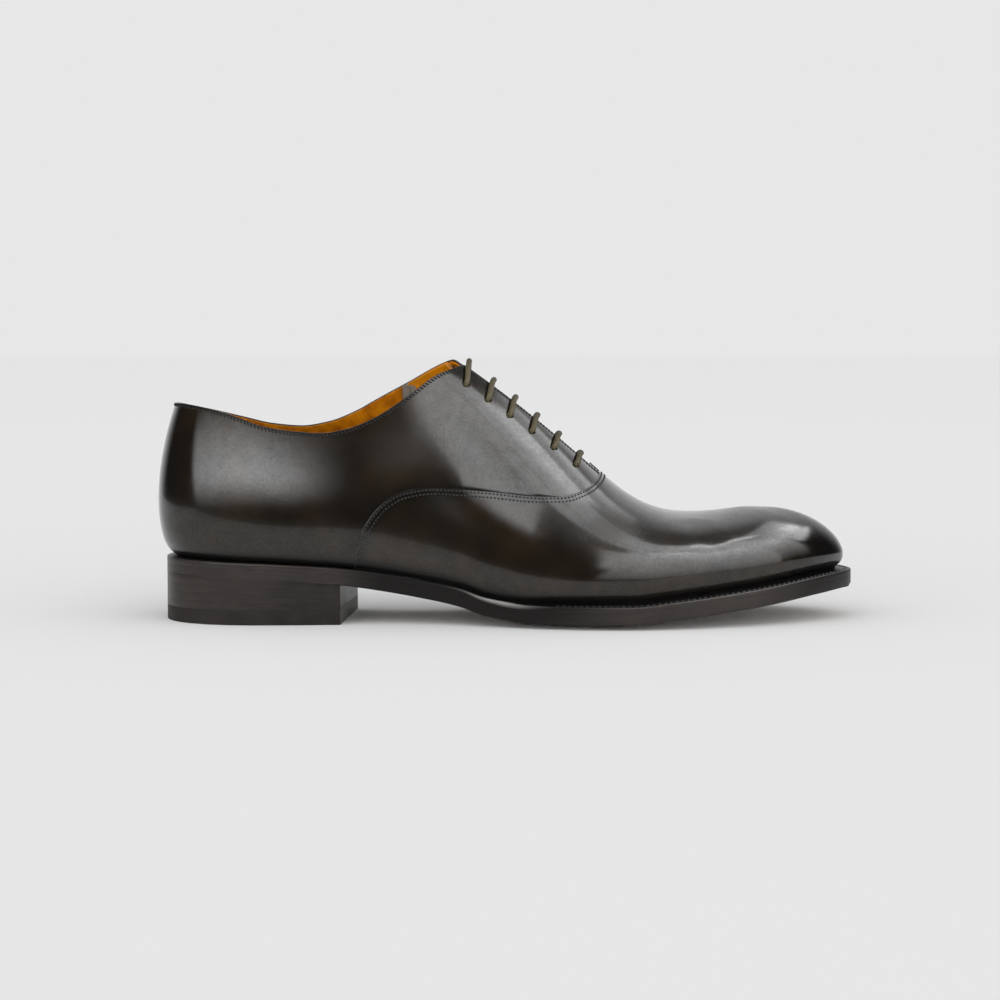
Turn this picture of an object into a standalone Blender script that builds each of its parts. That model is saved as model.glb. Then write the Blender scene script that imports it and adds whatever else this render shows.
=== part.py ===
"""Plain-toe oxford, a right shoe, as separate solids.

Frame: metres, +X to the toe, -Y to the outer (lateral) side, +Z up. The origin is on the floor,
under the middle of the shoe's box. The upper is one hollow wall over the shape of the last; the
sole, welt and heel close it from below, and the tongue, insole and lace bars sit against it.
"""

import math
from collections import namedtuple

import bmesh
import bpy
import numpy as np
from mathutils import Matrix, Vector

MM = 0.001

# Driving sizes of the last and of the bottom
LAST_LENGTH = 299.5 * MM  # heel to toe along the feather line, where upper meets welt
HEEL_X = -149.815 * MM  # the feather line's heel point
MIDDLE_Y = 0.220 * MM  # the last's middle line, so that the whole shoe's box is centred
HALF_BALL = 48.0 * MM  # half of the feather line's breadth across the ball
INSTEP = 100.0 * MM  # floor to crown at mid length
HEEL_HEIGHT = 20.0 * MM  # floor to outsole at the heel seat
TOE_SPRING = 13.0 * MM  # floor to outsole edge at the toe
SWELL = 10.0 * MM  # unit for how far a wall swells past the feather line

# Thicknesses and clearances
WALL = 2.0 * MM  # upper leather with its lining
VAMP_STEP = 0.8 * MM  # the vamp laps over the quarters
OUTSOLE = 5.0 * MM
WELT = 2.6 * MM
WELT_REACH = 7.0 * MM  # how far the welt runs in under the upper
EDGE_LIFT = 2.2 * MM  # the outsole's edges stand this far off the floor at the ball
EDGE_BEVEL = 0.7 * MM
INSOLE = 2.4 * MM
TOP_PIECE = 6.5 * MM
TONGUE = 1.8 * MM
GAP = 0.3 * MM  # between pieces that meet

# Throat and lacing
VAMP_POINT = 42.0 * MM  # the lacing closes here
THROAT_GAP_LOW, THROAT_GAP_TOP = 2.4 * MM, 7.0 * MM
FACING_TOP = -19.0 * MM
THROAT_START = -60.0 * MM  # behind this the top line alone bounds the upper
CORNER_ROUNDING = 0.03  # share of the wall over which the facing's top corner is rounded
CORNER_STATIONS = (-28.0 * MM, -23.5 * MM, -20.5 * MM, -17.5 * MM, -14.0 * MM)
EYELET_DIAMETER = 3.8 * MM
EYELET_TOP_X, EYELET_LOW_X, EYELET_ROWS = -17.5 * MM, 31.2 * MM, 6
EYELET_REACH = 16.1 * MM  # from the crown down the facing, along the leather
LACE_DIAMETER = 2.3 * MM
LACE_CLEARANCE = 0.25 * MM
LACE_ROOM = 2.9 * MM  # between facing and tongue, for the hidden runs of the lace
BAR_LEAN = 1.6 * MM  # a bar crosses square to the sloping throat, so its middle lies forward
BAR_LEAN_TOP = 0.3 * MM

# How a lace bar leaves its hole: "climb" is a share of the way from the hole to the crown, and
# "above" the height of its middle over the leather
BarPoint = namedtuple("BarPoint", "climb above")
BAR_START = (
    BarPoint(0.00, -1.1 * MM),
    BarPoint(0.00, 0.9 * MM),
    BarPoint(0.07, LACE_DIAMETER / 2 + LACE_CLEARANCE + 0.2 * MM),
)

# Heel breast, slanted so that the inner side is longer
BREAST_LATERAL_X, BREAST_MEDIAL_X = -72.6 * MM, -68.0 * MM
HEEL_STATIONS = 12
HEEL_STATION_EASE = 1.4  # stations stand closer together round the back

# Tongue: where it starts behind the facings and ends under the vamp, its half width along the
# leather at both ends, and how its back edge lies against the top line on each side
TONGUE_BACK_X, TONGUE_FRONT_X = -46.0 * MM, 57.0 * MM
TONGUE_HALF_BACK, TONGUE_HALF_FRONT = 31.0 * MM, 22.0 * MM
TONGUE_RAISE_LATERAL, TONGUE_RAISE_MEDIAL = -1.0 * MM, 1.5 * MM
TONGUE_LEAST_SHARE = 0.04  # the tongue's narrowest side, as a share of the wall
TONGUE_STATIONS = 16

# Sections of the last, from the heel to the toe. "along" and "crown_along" are shares of the
# last's length; breadths and crown_side of HALF_BALL; swells of SWELL; rise, drop and crown of
# INSTEP. "spread" is the shoulder's share of the way from the crown out to the feather line, and
# "ledge" is how far the sole stands out past the feather line, in millimetres.
Section = namedtuple(
    "Section",
    "along lateral medial swell_lateral swell_medial rise spread drop crown_along crown_side crown ledge",
)
SECTIONS = (
    Section(0.000, 0.000, 0.000, 1.28, 1.28, 0.20, 1.11, 0.450, 0.105, 0.00, 1.500, 1.8),
    Section(0.018, 0.355, 0.355, 1.19, 1.19, 0.20, 1.08, 0.450, 0.112, 0.00, 1.500, 1.8),
    Section(0.065, 0.575, 0.575, 0.98, 0.98, 0.20, 1.00, 0.440, 0.139, 0.00, 1.500, 1.7),
    Section(0.149, 0.655, 0.645, 0.72, 0.72, 0.20, 0.93, 0.430, 0.182, 0.00, 1.480, 1.6),
    Section(0.265, 0.615, 0.605, 0.70, 0.80, 0.22, 0.90, 0.360, 0.272, 0.01, 1.420, 1.2),
    Section(0.382, 0.635, 0.545, 0.50, 0.90, 0.24, 0.82, 0.120, 0.382, 0.03, 1.260, 0.8),
    Section(0.499, 0.830, 0.650, 0.92, 0.95, 0.29, 0.50, 0.015, 0.499, 0.04, 1.005, 2.4),
    Section(0.599, 0.975, 0.870, 1.06, 0.95, 0.28, 0.43, 0.000, 0.599, 0.07, 0.752, 4.0),
    Section(0.699, 0.975, 0.975, 1.28, 1.00, 0.285, 0.45, 0.000, 0.699, 0.09, 0.513, 4.9),
    Section(0.800, 0.830, 0.945, 1.24, 1.00, 0.25, 0.50, 0.000, 0.790, 0.11, 0.461, 4.9),
    Section(0.893, 0.582, 0.822, 1.08, 0.95, 0.208, 0.57, 0.000, 0.847, 0.12, 0.481, 5.0),
    Section(0.960, 0.275, 0.600, 0.82, 0.80, 0.155, 0.64, 0.000, 0.873, 0.12, 0.483, 5.3),
    Section(0.990, 0.050, 0.355, 0.68, 0.68, 0.118, 0.69, 0.000, 0.887, 0.12, 0.482, 5.5),
    Section(1.000, -0.125, 0.125, 0.69, 0.69, 0.10, 0.70, 0.003, 0.890, 0.12, 0.482, 5.6),
)

# Side profile of the bottom: "heel" and "toe" are shares of HEEL_HEIGHT and TOE_SPRING, "lift" of
# EDGE_LIFT, and "sole" of the outsole's full thickness.
Bottom = namedtuple("Bottom", "along heel toe lift sole")
BOTTOM = (
    Bottom(-0.01, 1.080, 0.000, 0.0, 0.72),
    Bottom(0.14, 1.010, 0.000, 0.0, 0.74),
    Bottom(0.22, 0.930, 0.000, 0.0, 0.80),
    Bottom(0.285, 0.800, 0.000, 0.1, 0.92),
    Bottom(0.37, 0.580, 0.000, 0.2, 1.00),
    Bottom(0.435, 0.375, 0.000, 0.3, 1.00),
    Bottom(0.465, 0.200, 0.000, 0.5, 1.00),
    Bottom(0.50, 0.075, 0.000, 0.8, 1.00),
    Bottom(0.535, 0.000, 0.000, 1.0, 1.00),
    Bottom(0.68, 0.000, 0.000, 1.0, 1.00),
    Bottom(0.745, 0.000, 0.155, 0.9, 1.00),
    Bottom(0.815, 0.000, 0.350, 0.8, 1.00),
    Bottom(0.89, 0.000, 0.590, 0.7, 1.00),
    Bottom(0.965, 0.000, 0.880, 0.5, 0.96),
    Bottom(1.02, 0.000, 1.020, 0.3, 0.92),
)

# Top line of the collar in side view, as shares of the last's length and of INSTEP. The inner
# side climbs to the facing earlier than the outer one.
TopLine = namedtuple("TopLine", "along lateral medial")
TOP_LINE = (
    TopLine(-0.02, 0.975, 0.970),
    TopLine(0.005, 0.970, 0.962),
    TopLine(0.030, 0.963, 0.941),
    TopLine(0.055, 0.952, 0.922),
    TopLine(0.080, 0.935, 0.903),
    TopLine(0.105, 0.913, 0.884),
    TopLine(0.145, 0.870, 0.857),
    TopLine(0.190, 0.848, 0.846),
    TopLine(0.230, 0.840, 0.865),
    TopLine(0.270, 0.860, 0.911),
    TopLine(0.310, 0.910, 0.979),
    TopLine(0.355, 0.998, 1.053),
    TopLine(0.400, 1.094, 1.130),
    TopLine(0.430, 1.128, 1.168),
    TopLine(0.460, 1.160, 1.190),
)

# Edge of the vamp over the quarters in side view, in the same shares
SeamPoint = namedtuple("SeamPoint", "along height")
VAMP_SEAM = (
    SeamPoint(0.262, -0.200),
    SeamPoint(0.2785, 0.270),
    SeamPoint(0.2835, 0.355),
    SeamPoint(0.2905, 0.415),
    SeamPoint(0.3065, 0.490),
    SeamPoint(0.3245, 0.543),
    SeamPoint(0.352, 0.583),
    SeamPoint(0.392, 0.601),
    SeamPoint(0.472, 0.588),
    SeamPoint(0.546, 0.565),
    SeamPoint(0.583, 0.563),
    SeamPoint(0.610, 0.582),
    SeamPoint(0.631, 0.618),
    SeamPoint(0.643, 0.665),
    SeamPoint(0.665, 0.900),
)

# Underside of the outsole from side to side: "across" runs from -1 to 1 between its edges, and
# "lift" is the share of the edges' height off the floor
BellyPoint = namedtuple("BellyPoint", "across lift")
BELLY = (
    BellyPoint(-1.00, 1.0),
    BellyPoint(-0.78, 0.4),
    BellyPoint(-0.48, 0.0),
    BellyPoint(0.48, 0.0),
    BellyPoint(0.78, 0.4),
    BellyPoint(1.00, 1.0),
)

# Colours and gloss of the pieces
Finish = namedtuple("Finish", "colour roughness")
CALF = Finish((0.030, 0.023, 0.018), 0.28)
LINING = Finish((0.40, 0.16, 0.02), 0.55)
SOLE_EDGE = Finish((0.045, 0.034, 0.028), 0.45)
HEEL_RUBBER = Finish((0.030, 0.027, 0.025), 0.60)
LACE_CORD = Finish((0.11, 0.08, 0.05), 0.70)

# Mesh density
SECTION_STEPS = 3  # stations between two rows of SECTIONS
STATION_APART = 2.5 * MM  # a plain station closer than this to a fixed one is left out
WALL_STEPS = 11
TONGUE_STEPS = 6  # from the side edge to the crown
BAR_STEPS = 5  # lace points from an eyelet to the crown
LACE_SIDES = 8
EYELET_SIDES = 14
PUNCH_LENGTH = 8.0 * MM
REACH_STEPS = 60
SEAM_SNAP = 0.12  # the vamp's edge moves to a corner that is closer than this share of a side
SMOOTH_ANGLE = math.radians(40)

# Tolerances
HALVINGS = 50  # of a search by bisection
TOUCHING = 0.01 * MM  # plan points closer than this are one
FOOT_TOLERANCE = 0.1 * MM


class PeriodicSpline:
    """Smooth closed curve through rows of values at increasing parameters."""

    def __init__(self, knots, period, rows):
        self.knots = np.append(knots, knots[0] + period)
        self.period = period
        self.rows = np.vstack([rows, rows[:1]])
        count = len(rows)
        gaps = np.diff(self.knots)
        matrix = np.zeros((count, count))
        right = np.zeros((count, self.rows.shape[1]))
        for i in range(count):
            before, after = gaps[i - 1], gaps[i]
            matrix[i, i - 1] += before
            matrix[i, i] += 2 * (before + after)
            matrix[i, (i + 1) % count] += after
            rising = (self.rows[i + 1] - self.rows[i]) / after
            arriving = (self.rows[i] - self.rows[i - 1 if i else count - 1]) / before
            right[i] = 6 * (rising - arriving)
        bends = np.linalg.solve(matrix, right)
        self.bends = np.vstack([bends, bends[:1]])

    def at(self, t):
        t = self.knots[0] + (t - self.knots[0]) % self.period
        i = min(np.searchsorted(self.knots, t, side="right") - 1, len(self.knots) - 2)
        gap = self.knots[i + 1] - self.knots[i]
        a, b = (self.knots[i + 1] - t) / gap, (t - self.knots[i]) / gap
        curve = (a**3 - a) * self.bends[i] + (b**3 - b) * self.bends[i + 1]
        return a * self.rows[i] + b * self.rows[i + 1] + curve * gap * gap / 6


def smooth_table(table, column, x):
    """A table's column at x along the shoe, by cubics that keep between neighbouring rows."""
    share = (x - HEEL_X) / LAST_LENGTH
    along = [row.along for row in table]
    values = [getattr(row, column) for row in table]
    if share <= along[0]:
        return values[0]
    if share >= along[-1]:
        return values[-1]
    i = np.searchsorted(along, share, side="right") - 1
    slopes = [(values[k + 1] - values[k]) / (along[k + 1] - along[k]) for k in range(len(table) - 1)]

    def tangent(k):
        if k == 0 or k == len(table) - 1 or slopes[k - 1] * slopes[k] <= 0:
            return 0.0
        return 2 * slopes[k - 1] * slopes[k] / (slopes[k - 1] + slopes[k])

    gap = along[i + 1] - along[i]
    s = (share - along[i]) / gap
    start, end = tangent(i) * gap, tangent(i + 1) * gap
    rise = values[i + 1] - values[i]
    return values[i] + s * start + s * s * (3 * rise - 2 * start - end) + s**3 * (start + end - 2 * rise)


def sole_edge_z(x):
    """Height of the outsole's lower edge."""
    heel = smooth_table(BOTTOM, "heel", x) * HEEL_HEIGHT
    toe = smooth_table(BOTTOM, "toe", x) * TOE_SPRING
    return heel + toe + smooth_table(BOTTOM, "lift", x) * EDGE_LIFT


def sole_middle_z(x):
    """Height of the outsole's underside along the middle, flat on the floor under the ball."""
    return sole_edge_z(x) - smooth_table(BOTTOM, "lift", x) * EDGE_LIFT


def outsole_top_z(x):
    return sole_edge_z(x) + smooth_table(BOTTOM, "sole", x) * OUTSOLE


def welt_top_z(x):
    return outsole_top_z(x) + GAP + WELT


def feather_z(x):
    return welt_top_z(x) + GAP


def top_line_z(x, side):
    return smooth_table(TOP_LINE, "lateral" if side < 0 else "medial", x) * INSTEP


class Last:
    """The shape under the upper: four rails run round the shoe, and a curve climbs across them.

    A station t counts from the heel, along the lateral side to the toe and back along the medial
    side. At each station a cubic leaves the feather line, swells, rounds the shoulder and ends at
    the crown, the middle line over the shoe.
    """

    COLUMNS = ("x", "y", "swell", "rise", "spread", "drop", "crown_x", "crown_y", "crown_z", "ledge")

    def __init__(self):
        lateral = [self.row(s, -1) for s in SECTIONS]
        medial = [self.row(s, +1) for s in SECTIONS]
        steps = [
            (math.dist(a[:2], b[:2]) + math.dist(c[:2], d[:2])) / 2
            for a, b, c, d in zip(lateral, lateral[1:], medial, medial[1:])
        ]
        self.side_knots = np.concatenate([[0.0], np.cumsum(steps)])
        self.toe = float(self.side_knots[-1])
        knots = np.concatenate([self.side_knots, 2 * self.toe - self.side_knots[-2:0:-1]])
        rows = np.array(lateral + medial[-2:0:-1])
        self.rails = PeriodicSpline(knots, 2 * self.toe, rows)

    @staticmethod
    def row(s, side):
        breadth = -s.lateral if side < 0 else s.medial
        swell = s.swell_lateral if side < 0 else s.swell_medial
        return (
            HEEL_X + s.along * LAST_LENGTH,
            MIDDLE_Y + breadth * HALF_BALL,
            swell * SWELL,
            s.rise * INSTEP,
            s.spread,
            s.drop * INSTEP,
            HEEL_X + s.crown_along * LAST_LENGTH,
            MIDDLE_Y + s.crown_side * HALF_BALL,
            s.crown * INSTEP,
            s.ledge * MM,
        )

    def rail(self, t):
        return dict(zip(self.COLUMNS, self.rails.at(t)))

    def side(self, t):
        return -1 if t % (2 * self.toe) <= self.toe else 1

    def mirror(self, t):
        """The station across the shoe."""
        return 2 * self.toe - t

    def outward(self, t):
        """Unit normal of the feather line in plan."""
        step = self.toe * 1e-4
        ahead, behind = self.rails.at(t + step), self.rails.at(t - step)
        along = ahead[:2] - behind[:2]
        return np.array([along[1], -along[0]]) / np.linalg.norm(along)

    def plan(self, t, offset):
        """Plan point that far outside the feather line."""
        rail = self.rails.at(t)
        return rail[:2] + self.outward(t) * offset

    def sole_plan(self, t):
        return self.plan(t, self.rail(t)["ledge"])

    def controls(self, t):
        r = self.rail(t)
        normal = self.outward(t)
        feather = np.array([r["x"], r["y"], feather_z(r["x"])])
        swell = feather + np.array([normal[0] * r["swell"], normal[1] * r["swell"], r["rise"]])
        crown = np.array([r["crown_x"], r["crown_y"], r["crown_z"]])
        shoulder = crown + r["spread"] * (feather - crown)
        shoulder[2] = crown[2] - r["drop"]
        return feather, swell, shoulder, crown

    def point(self, t, v):
        a, b, c, d = self.controls(t)
        w = 1 - v
        return w**3 * a + 3 * w * w * v * b + 3 * w * v * v * c + v**3 * d

    def normal(self, t, v):
        dt, dv = self.toe * 1e-4, 1e-4
        low, high = max(v - dv, 0.0), min(v + dv, 1.0)
        along = self.point(t + dt, v) - self.point(t - dt, v)
        across = self.point(t, high) - self.point(t, low)
        n = np.cross(along, across)
        return n / np.linalg.norm(n)

    def offset_point(self, t, v, offset):
        point = self.point(t, v)
        return point + self.normal(t, v) * offset if offset else point

    def station_at(self, x, side):
        """Station whose crown lies at x."""
        low, high = 0.0, self.toe
        for _ in range(HALVINGS):
            middle = (low + high) / 2
            low, high = (middle, high) if self.rail(middle)["crown_x"] < x else (low, middle)
        return low if side < 0 else self.mirror(low)

    def highest_share(self, t, keep, offset=0.0):
        """The highest v up to which keep(point) holds."""
        if keep(self.offset_point(t, 1.0, offset)):
            return 1.0
        low, high = 0.0, 1.0
        for _ in range(HALVINGS):
            middle = (low + high) / 2
            low, high = (middle, high) if keep(self.offset_point(t, middle, offset)) else (low, middle)
        return low

    def edge_share(self, t):
        """v at the top line, the facing's edge or the crown, with the facing's corner rounded."""
        side = self.side(t)
        rail = self.rail(t)
        by_height = self.highest_share(t, lambda p: p[2] < top_line_z(p[0], side))
        if not THROAT_START < rail["crown_x"] < VAMP_POINT:
            return by_height
        up = (VAMP_POINT - rail["crown_x"]) / (VAMP_POINT - FACING_TOP)
        half = (THROAT_GAP_LOW + (THROAT_GAP_TOP - THROAT_GAP_LOW) * min(up, 1.0)) / 2
        by_gap = self.highest_share(t, lambda p: side * (p[1] - rail["crown_y"]) > half)
        return (by_height + by_gap - math.hypot(by_height - by_gap, CORNER_ROUNDING)) / 2

    def reach_share(self, t, reach, offset=0.0):
        """v at a length measured down the leather from the crown."""
        travelled = 0.0
        before = self.offset_point(t, 1.0, offset)
        for k in range(REACH_STEPS - 1, 0, -1):
            here = self.offset_point(t, k / REACH_STEPS, offset)
            step = np.linalg.norm(here - before)
            if travelled + step >= reach:
                return (k + 1 - (reach - travelled) / step) / REACH_STEPS
            travelled += step
            before = here
        return 0.0


def seam_level(point):
    """Positive on the quarters, negative on the vamp."""
    return point[2] - smooth_table(VAMP_SEAM, "height", point[0]) * INSTEP


def new_material(name, finish):
    material = bpy.data.materials.new(name)
    material.use_nodes = True
    shader = material.node_tree.nodes["Principled BSDF"]
    shader.inputs["Base Color"].default_value = (*finish.colour, 1.0)
    shader.inputs["Roughness"].default_value = finish.roughness
    shader.inputs["Metallic"].default_value = 0.0
    return material


def add_object(name, bm, finish):
    """An object of its own material from a finished mesh."""
    bmesh.ops.recalc_face_normals(bm, faces=bm.faces)
    mesh = bpy.data.meshes.new(name)
    bm.to_mesh(mesh)
    bm.free()
    mesh.shade_smooth()
    mesh.set_sharp_from_angle(angle=SMOOTH_ANGLE)
    mesh.materials.append(new_material(f"{name}_finish", finish))
    obj = bpy.data.objects.new(name, mesh)
    bpy.context.scene.collection.objects.link(obj)
    return obj


def stations_of(last):
    """Stations down one side, with some at the facing's top corner and one at the vamp point."""
    stations = []
    for a, b in zip(last.side_knots, last.side_knots[1:]):
        stations += [a + (b - a) * k / SECTION_STEPS for k in range(SECTION_STEPS)]
    stations.append(last.toe)
    fixed = [last.station_at(x, -1) for x in (*CORNER_STATIONS, VAMP_POINT + TOUCHING)]
    plain = [t for t in stations if min(abs(t - f) for f in fixed) > STATION_APART]
    return sorted(plain + fixed)


def add_face(bm, verts):
    """A face from its corners, leaving out corners that coincide."""
    corners = [v for k, v in enumerate(verts) if v not in verts[:k]]
    if len(corners) >= 3:
        bm.faces.new(corners)


def cut_along_seam(bm):
    """Adds edges to the grid where the vamp's edge crosses it, snapping to near corners."""
    on_seam = set()
    for edge in list(bm.edges):
        a, b = edge.verts
        level_a, level_b = seam_level(a.co), seam_level(b.co)
        if level_a * level_b >= 0:
            continue
        share = level_a / (level_a - level_b)
        if share < SEAM_SNAP:
            on_seam.add(a)
        elif share > 1 - SEAM_SNAP:
            on_seam.add(b)
        else:
            on_seam.add(bmesh.utils.edge_split(edge, a, share)[1])
    for face in list(bm.faces):
        crossing = [v for v in face.verts if v in on_seam]
        if len(crossing) == 2 and not bm.edges.get(crossing):
            bmesh.utils.face_split(face, *crossing)


def skin_of_sides(bm, lateral, medial):
    """Faces over two sets of columns that run from the heel to the toe, facing outward."""
    for side, order in ((lateral, 1), (medial, -1)):
        for left, right in zip(side, side[1:]):
            for k in range(len(left) - 1):
                add_face(bm, [left[k], right[k], right[k + 1], left[k + 1]][::order])


def close_wall(bm, inner_of):
    """Gives an open skin its far face and the rims between."""
    skin = list(bm.faces)
    rims = [edge for edge in bm.edges if len(edge.link_faces) == 1]
    twin = {vert: bm.verts.new(inner_of(vert)) for vert in list(bm.verts)}
    for edge in rims:
        a, b = edge.verts
        bm.faces.new([a, b, twin[b], twin[a]])
    for face in skin:
        bm.faces.new([twin[v] for v in reversed(face.verts)])
    return skin


def raise_faces(bm, faces, height, keep_level):
    """Lifts a patch of faces along its normals and walls in its border; some corners keep their z."""
    patch = set(faces)
    sides = {edge for face in faces for edge in face.edges}
    border = [edge for edge in sides if sum(face in patch for face in edge.link_faces) == 1]
    lifted = {}
    for vert in {v for f in faces for v in f.verts}:
        normal = sum((f.normal for f in vert.link_faces if f in patch), Vector()).normalized()
        place = vert.co + normal * height
        if vert in keep_level:
            place.z = vert.co.z
        lifted[vert] = bm.verts.new(place)
    for edge in border:
        a, b = edge.verts
        bm.faces.new([a, b, lifted[b], lifted[a]])
    for face in faces:
        bm.faces.new([lifted[v] for v in face.verts])
    bmesh.ops.delete(bm, geom=faces, context="FACES")


def build_upper(last):
    """The hollow wall over the last, with the vamp as a step in it."""
    bm = bmesh.new()
    stations = stations_of(last)

    def column(t):
        top = last.edge_share(t)
        return [bm.verts.new(last.point(t, top * k / WALL_STEPS)) for k in range(WALL_STEPS + 1)]

    lateral = [column(t) for t in stations]
    medial = [lateral[0], *(column(last.mirror(t)) for t in stations[1:-1]), lateral[-1]]
    for k, t in enumerate(stations[1:-1], start=1):
        if last.rail(t)["crown_x"] >= VAMP_POINT:
            bm.verts.remove(medial[k][-1])
            medial[k][-1] = lateral[k][-1]
    skin_of_sides(bm, lateral, medial)
    cut_along_seam(bm)
    bm.normal_update()
    foot = {v for v in bm.verts if v.co.z < feather_z(v.co.x) + FOOT_TOLERANCE}

    def inner_of(vert):
        inner = vert.co - vert.normal * WALL
        if vert in foot:
            inner.z = vert.co.z
        return inner

    skin = close_wall(bm, inner_of)
    vamp = [f for f in skin if seam_level(f.calc_center_median()) < 0]
    raise_faces(bm, vamp, VAMP_STEP, foot)
    return add_object("upper", bm, CALF)


def punch_eyelets(last, upper):
    """Cuts the lace holes square to the facing."""
    bm = bmesh.new()
    for t, v in eyelets(last):
        centre, axis = Vector(last.point(t, v)), Vector(last.normal(t, v))
        turn = axis.to_track_quat("Z", "Y").to_matrix().to_4x4()
        bmesh.ops.create_cone(
            bm,
            cap_ends=True,
            segments=EYELET_SIDES,
            radius1=EYELET_DIAMETER / 2,
            radius2=EYELET_DIAMETER / 2,
            depth=PUNCH_LENGTH,
            matrix=Matrix.Translation(centre) @ turn,
        )
    cutter = add_object("eyelet_punch", bm, CALF)
    cutter.hide_render = True
    cutter.display_type = "WIRE"
    cut = upper.modifiers.new("eyelets", "BOOLEAN")
    cut.operation = "DIFFERENCE"
    cut.solver = "EXACT"
    cut.object = cutter


def eyelet_xs():
    step = (EYELET_LOW_X - EYELET_TOP_X) / (EYELET_ROWS - 1)
    return [EYELET_TOP_X + k * step for k in range(EYELET_ROWS)]


def eyelets(last):
    """(t, v) of each lace hole."""
    places = []
    for x in eyelet_xs():
        for side in (-1, 1):
            t = last.station_at(x, side)
            places.append((t, last.reach_share(t, EYELET_REACH)))
    return places


def loft(bm, rings, cap_start=False, cap_end=False):
    """Joins rings of corners; a ring may repeat a corner where the piece closes to an edge."""
    for a, b in zip(rings, rings[1:]):
        for k in range(len(a)):
            n = (k + 1) % len(a)
            add_face(bm, [a[k], a[n], b[n], b[k]])
    for ring, wanted in ((rings[0], cap_start), (rings[-1], cap_end)):
        if wanted:
            add_face(bm, list(ring))


def flat_ring(bm, pairs, lows, highs):
    """Four corners from lateral and medial plan points with their lower and upper heights."""
    (lateral, medial), (low_l, low_m), (high_l, high_m) = pairs, lows, highs
    if math.dist(lateral, medial) < TOUCHING:
        low, high = bm.verts.new((*lateral, low_l)), bm.verts.new((*lateral, high_l))
        return [low, low, high, high]
    return [
        bm.verts.new((*lateral, low_l)),
        bm.verts.new((*medial, low_m)),
        bm.verts.new((*medial, high_m)),
        bm.verts.new((*lateral, high_l)),
    ]


def build_outsole(last):
    """Flat above; below it bellies from its lifted edges to a flat middle."""
    bm = bmesh.new()
    rings = []
    for t in stations_of(last):
        ledge = last.rail(t)["ledge"]
        outer = [last.plan(s, ledge) for s in (t, last.mirror(t))]
        inset = [last.plan(s, ledge - EDGE_BEVEL) for s in (t, last.mirror(t))]
        single = math.dist(*outer) < TOUCHING
        ring = []
        for place in BELLY[:1] if single else BELLY:
            x, y = inset[0] + (inset[1] - inset[0]) * (place.across + 1) / 2
            middle = sole_middle_z(x)
            ring.append(bm.verts.new((x, y, middle + place.lift * (sole_edge_z(x) - middle))))
        ring = ring * len(BELLY) if single else ring
        sides = []
        for x, y in outer[:1] if single else outer:
            low = bm.verts.new((x, y, sole_edge_z(x) + EDGE_BEVEL))
            high = bm.verts.new((x, y, outsole_top_z(x)))
            sides.append((low, high))
        (low_l, high_l), (low_m, high_m) = sides[0], sides[-1]
        rings.append([*ring, low_m, high_m, high_l, low_l])
    loft(bm, rings)
    return add_object("outsole", bm, SOLE_EDGE)


def build_welt(last):
    """A ring round the whole feather line, from under the upper out to the sole's edge."""
    bm = bmesh.new()
    half = stations_of(last)
    loop = half + [last.mirror(t) for t in half[-2:0:-1]]
    rings = []
    for t in loop:
        ledge = last.rail(t)["ledge"]
        inner, rim, edge = (last.plan(t, d) for d in (-WELT_REACH, ledge - EDGE_BEVEL, ledge))
        rings.append(
            [
                bm.verts.new((*inner, outsole_top_z(inner[0]) + GAP)),
                bm.verts.new((*edge, outsole_top_z(edge[0]) + GAP)),
                bm.verts.new((*edge, welt_top_z(edge[0]) - EDGE_BEVEL)),
                bm.verts.new((*rim, welt_top_z(rim[0]))),
                bm.verts.new((*inner, welt_top_z(inner[0]))),
            ]
        )
    loft(bm, rings + rings[:1])
    return add_object("welt", bm, SOLE_EDGE)


def build_insole(last):
    """A plate inside the foot of the wall."""
    bm = bmesh.new()
    rings = []
    inset = -(WALL + 2 * GAP)
    for t in stations_of(last):
        pair = [last.plan(s, inset) for s in (t, last.mirror(t))]
        lows = [feather_z(p[0]) for p in pair]
        rings.append(flat_ring(bm, pair, lows, [z + INSOLE for z in lows]))
    loft(bm, rings)
    return add_object("insole", bm, LINING)


def breast_station(last, x, side):
    """Station at which the sole's edge passes x."""
    low, high = 0.0, last.toe / 2
    for _ in range(HALVINGS):
        middle = (low + high) / 2
        place = last.sole_plan(middle if side < 0 else last.mirror(middle))
        low, high = (middle, high) if place[0] < x else (low, middle)
    return low


def build_heel(last, name, finish, low_of, high_of):
    """A slice of the heel from its back to the slanted breast."""
    bm = bmesh.new()
    lateral_end = breast_station(last, BREAST_LATERAL_X, -1)
    medial_end = breast_station(last, BREAST_MEDIAL_X, +1)
    rings = []
    for k in range(HEEL_STATIONS + 1):
        share = (k / HEEL_STATIONS) ** HEEL_STATION_EASE
        pair = [last.sole_plan(share * lateral_end), last.sole_plan(last.mirror(share * medial_end))]
        rings.append(flat_ring(bm, pair, [low_of(p[0]) for p in pair], [high_of(p[0]) for p in pair]))
    loft(bm, rings, cap_end=True)
    return add_object(name, bm, finish)


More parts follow.
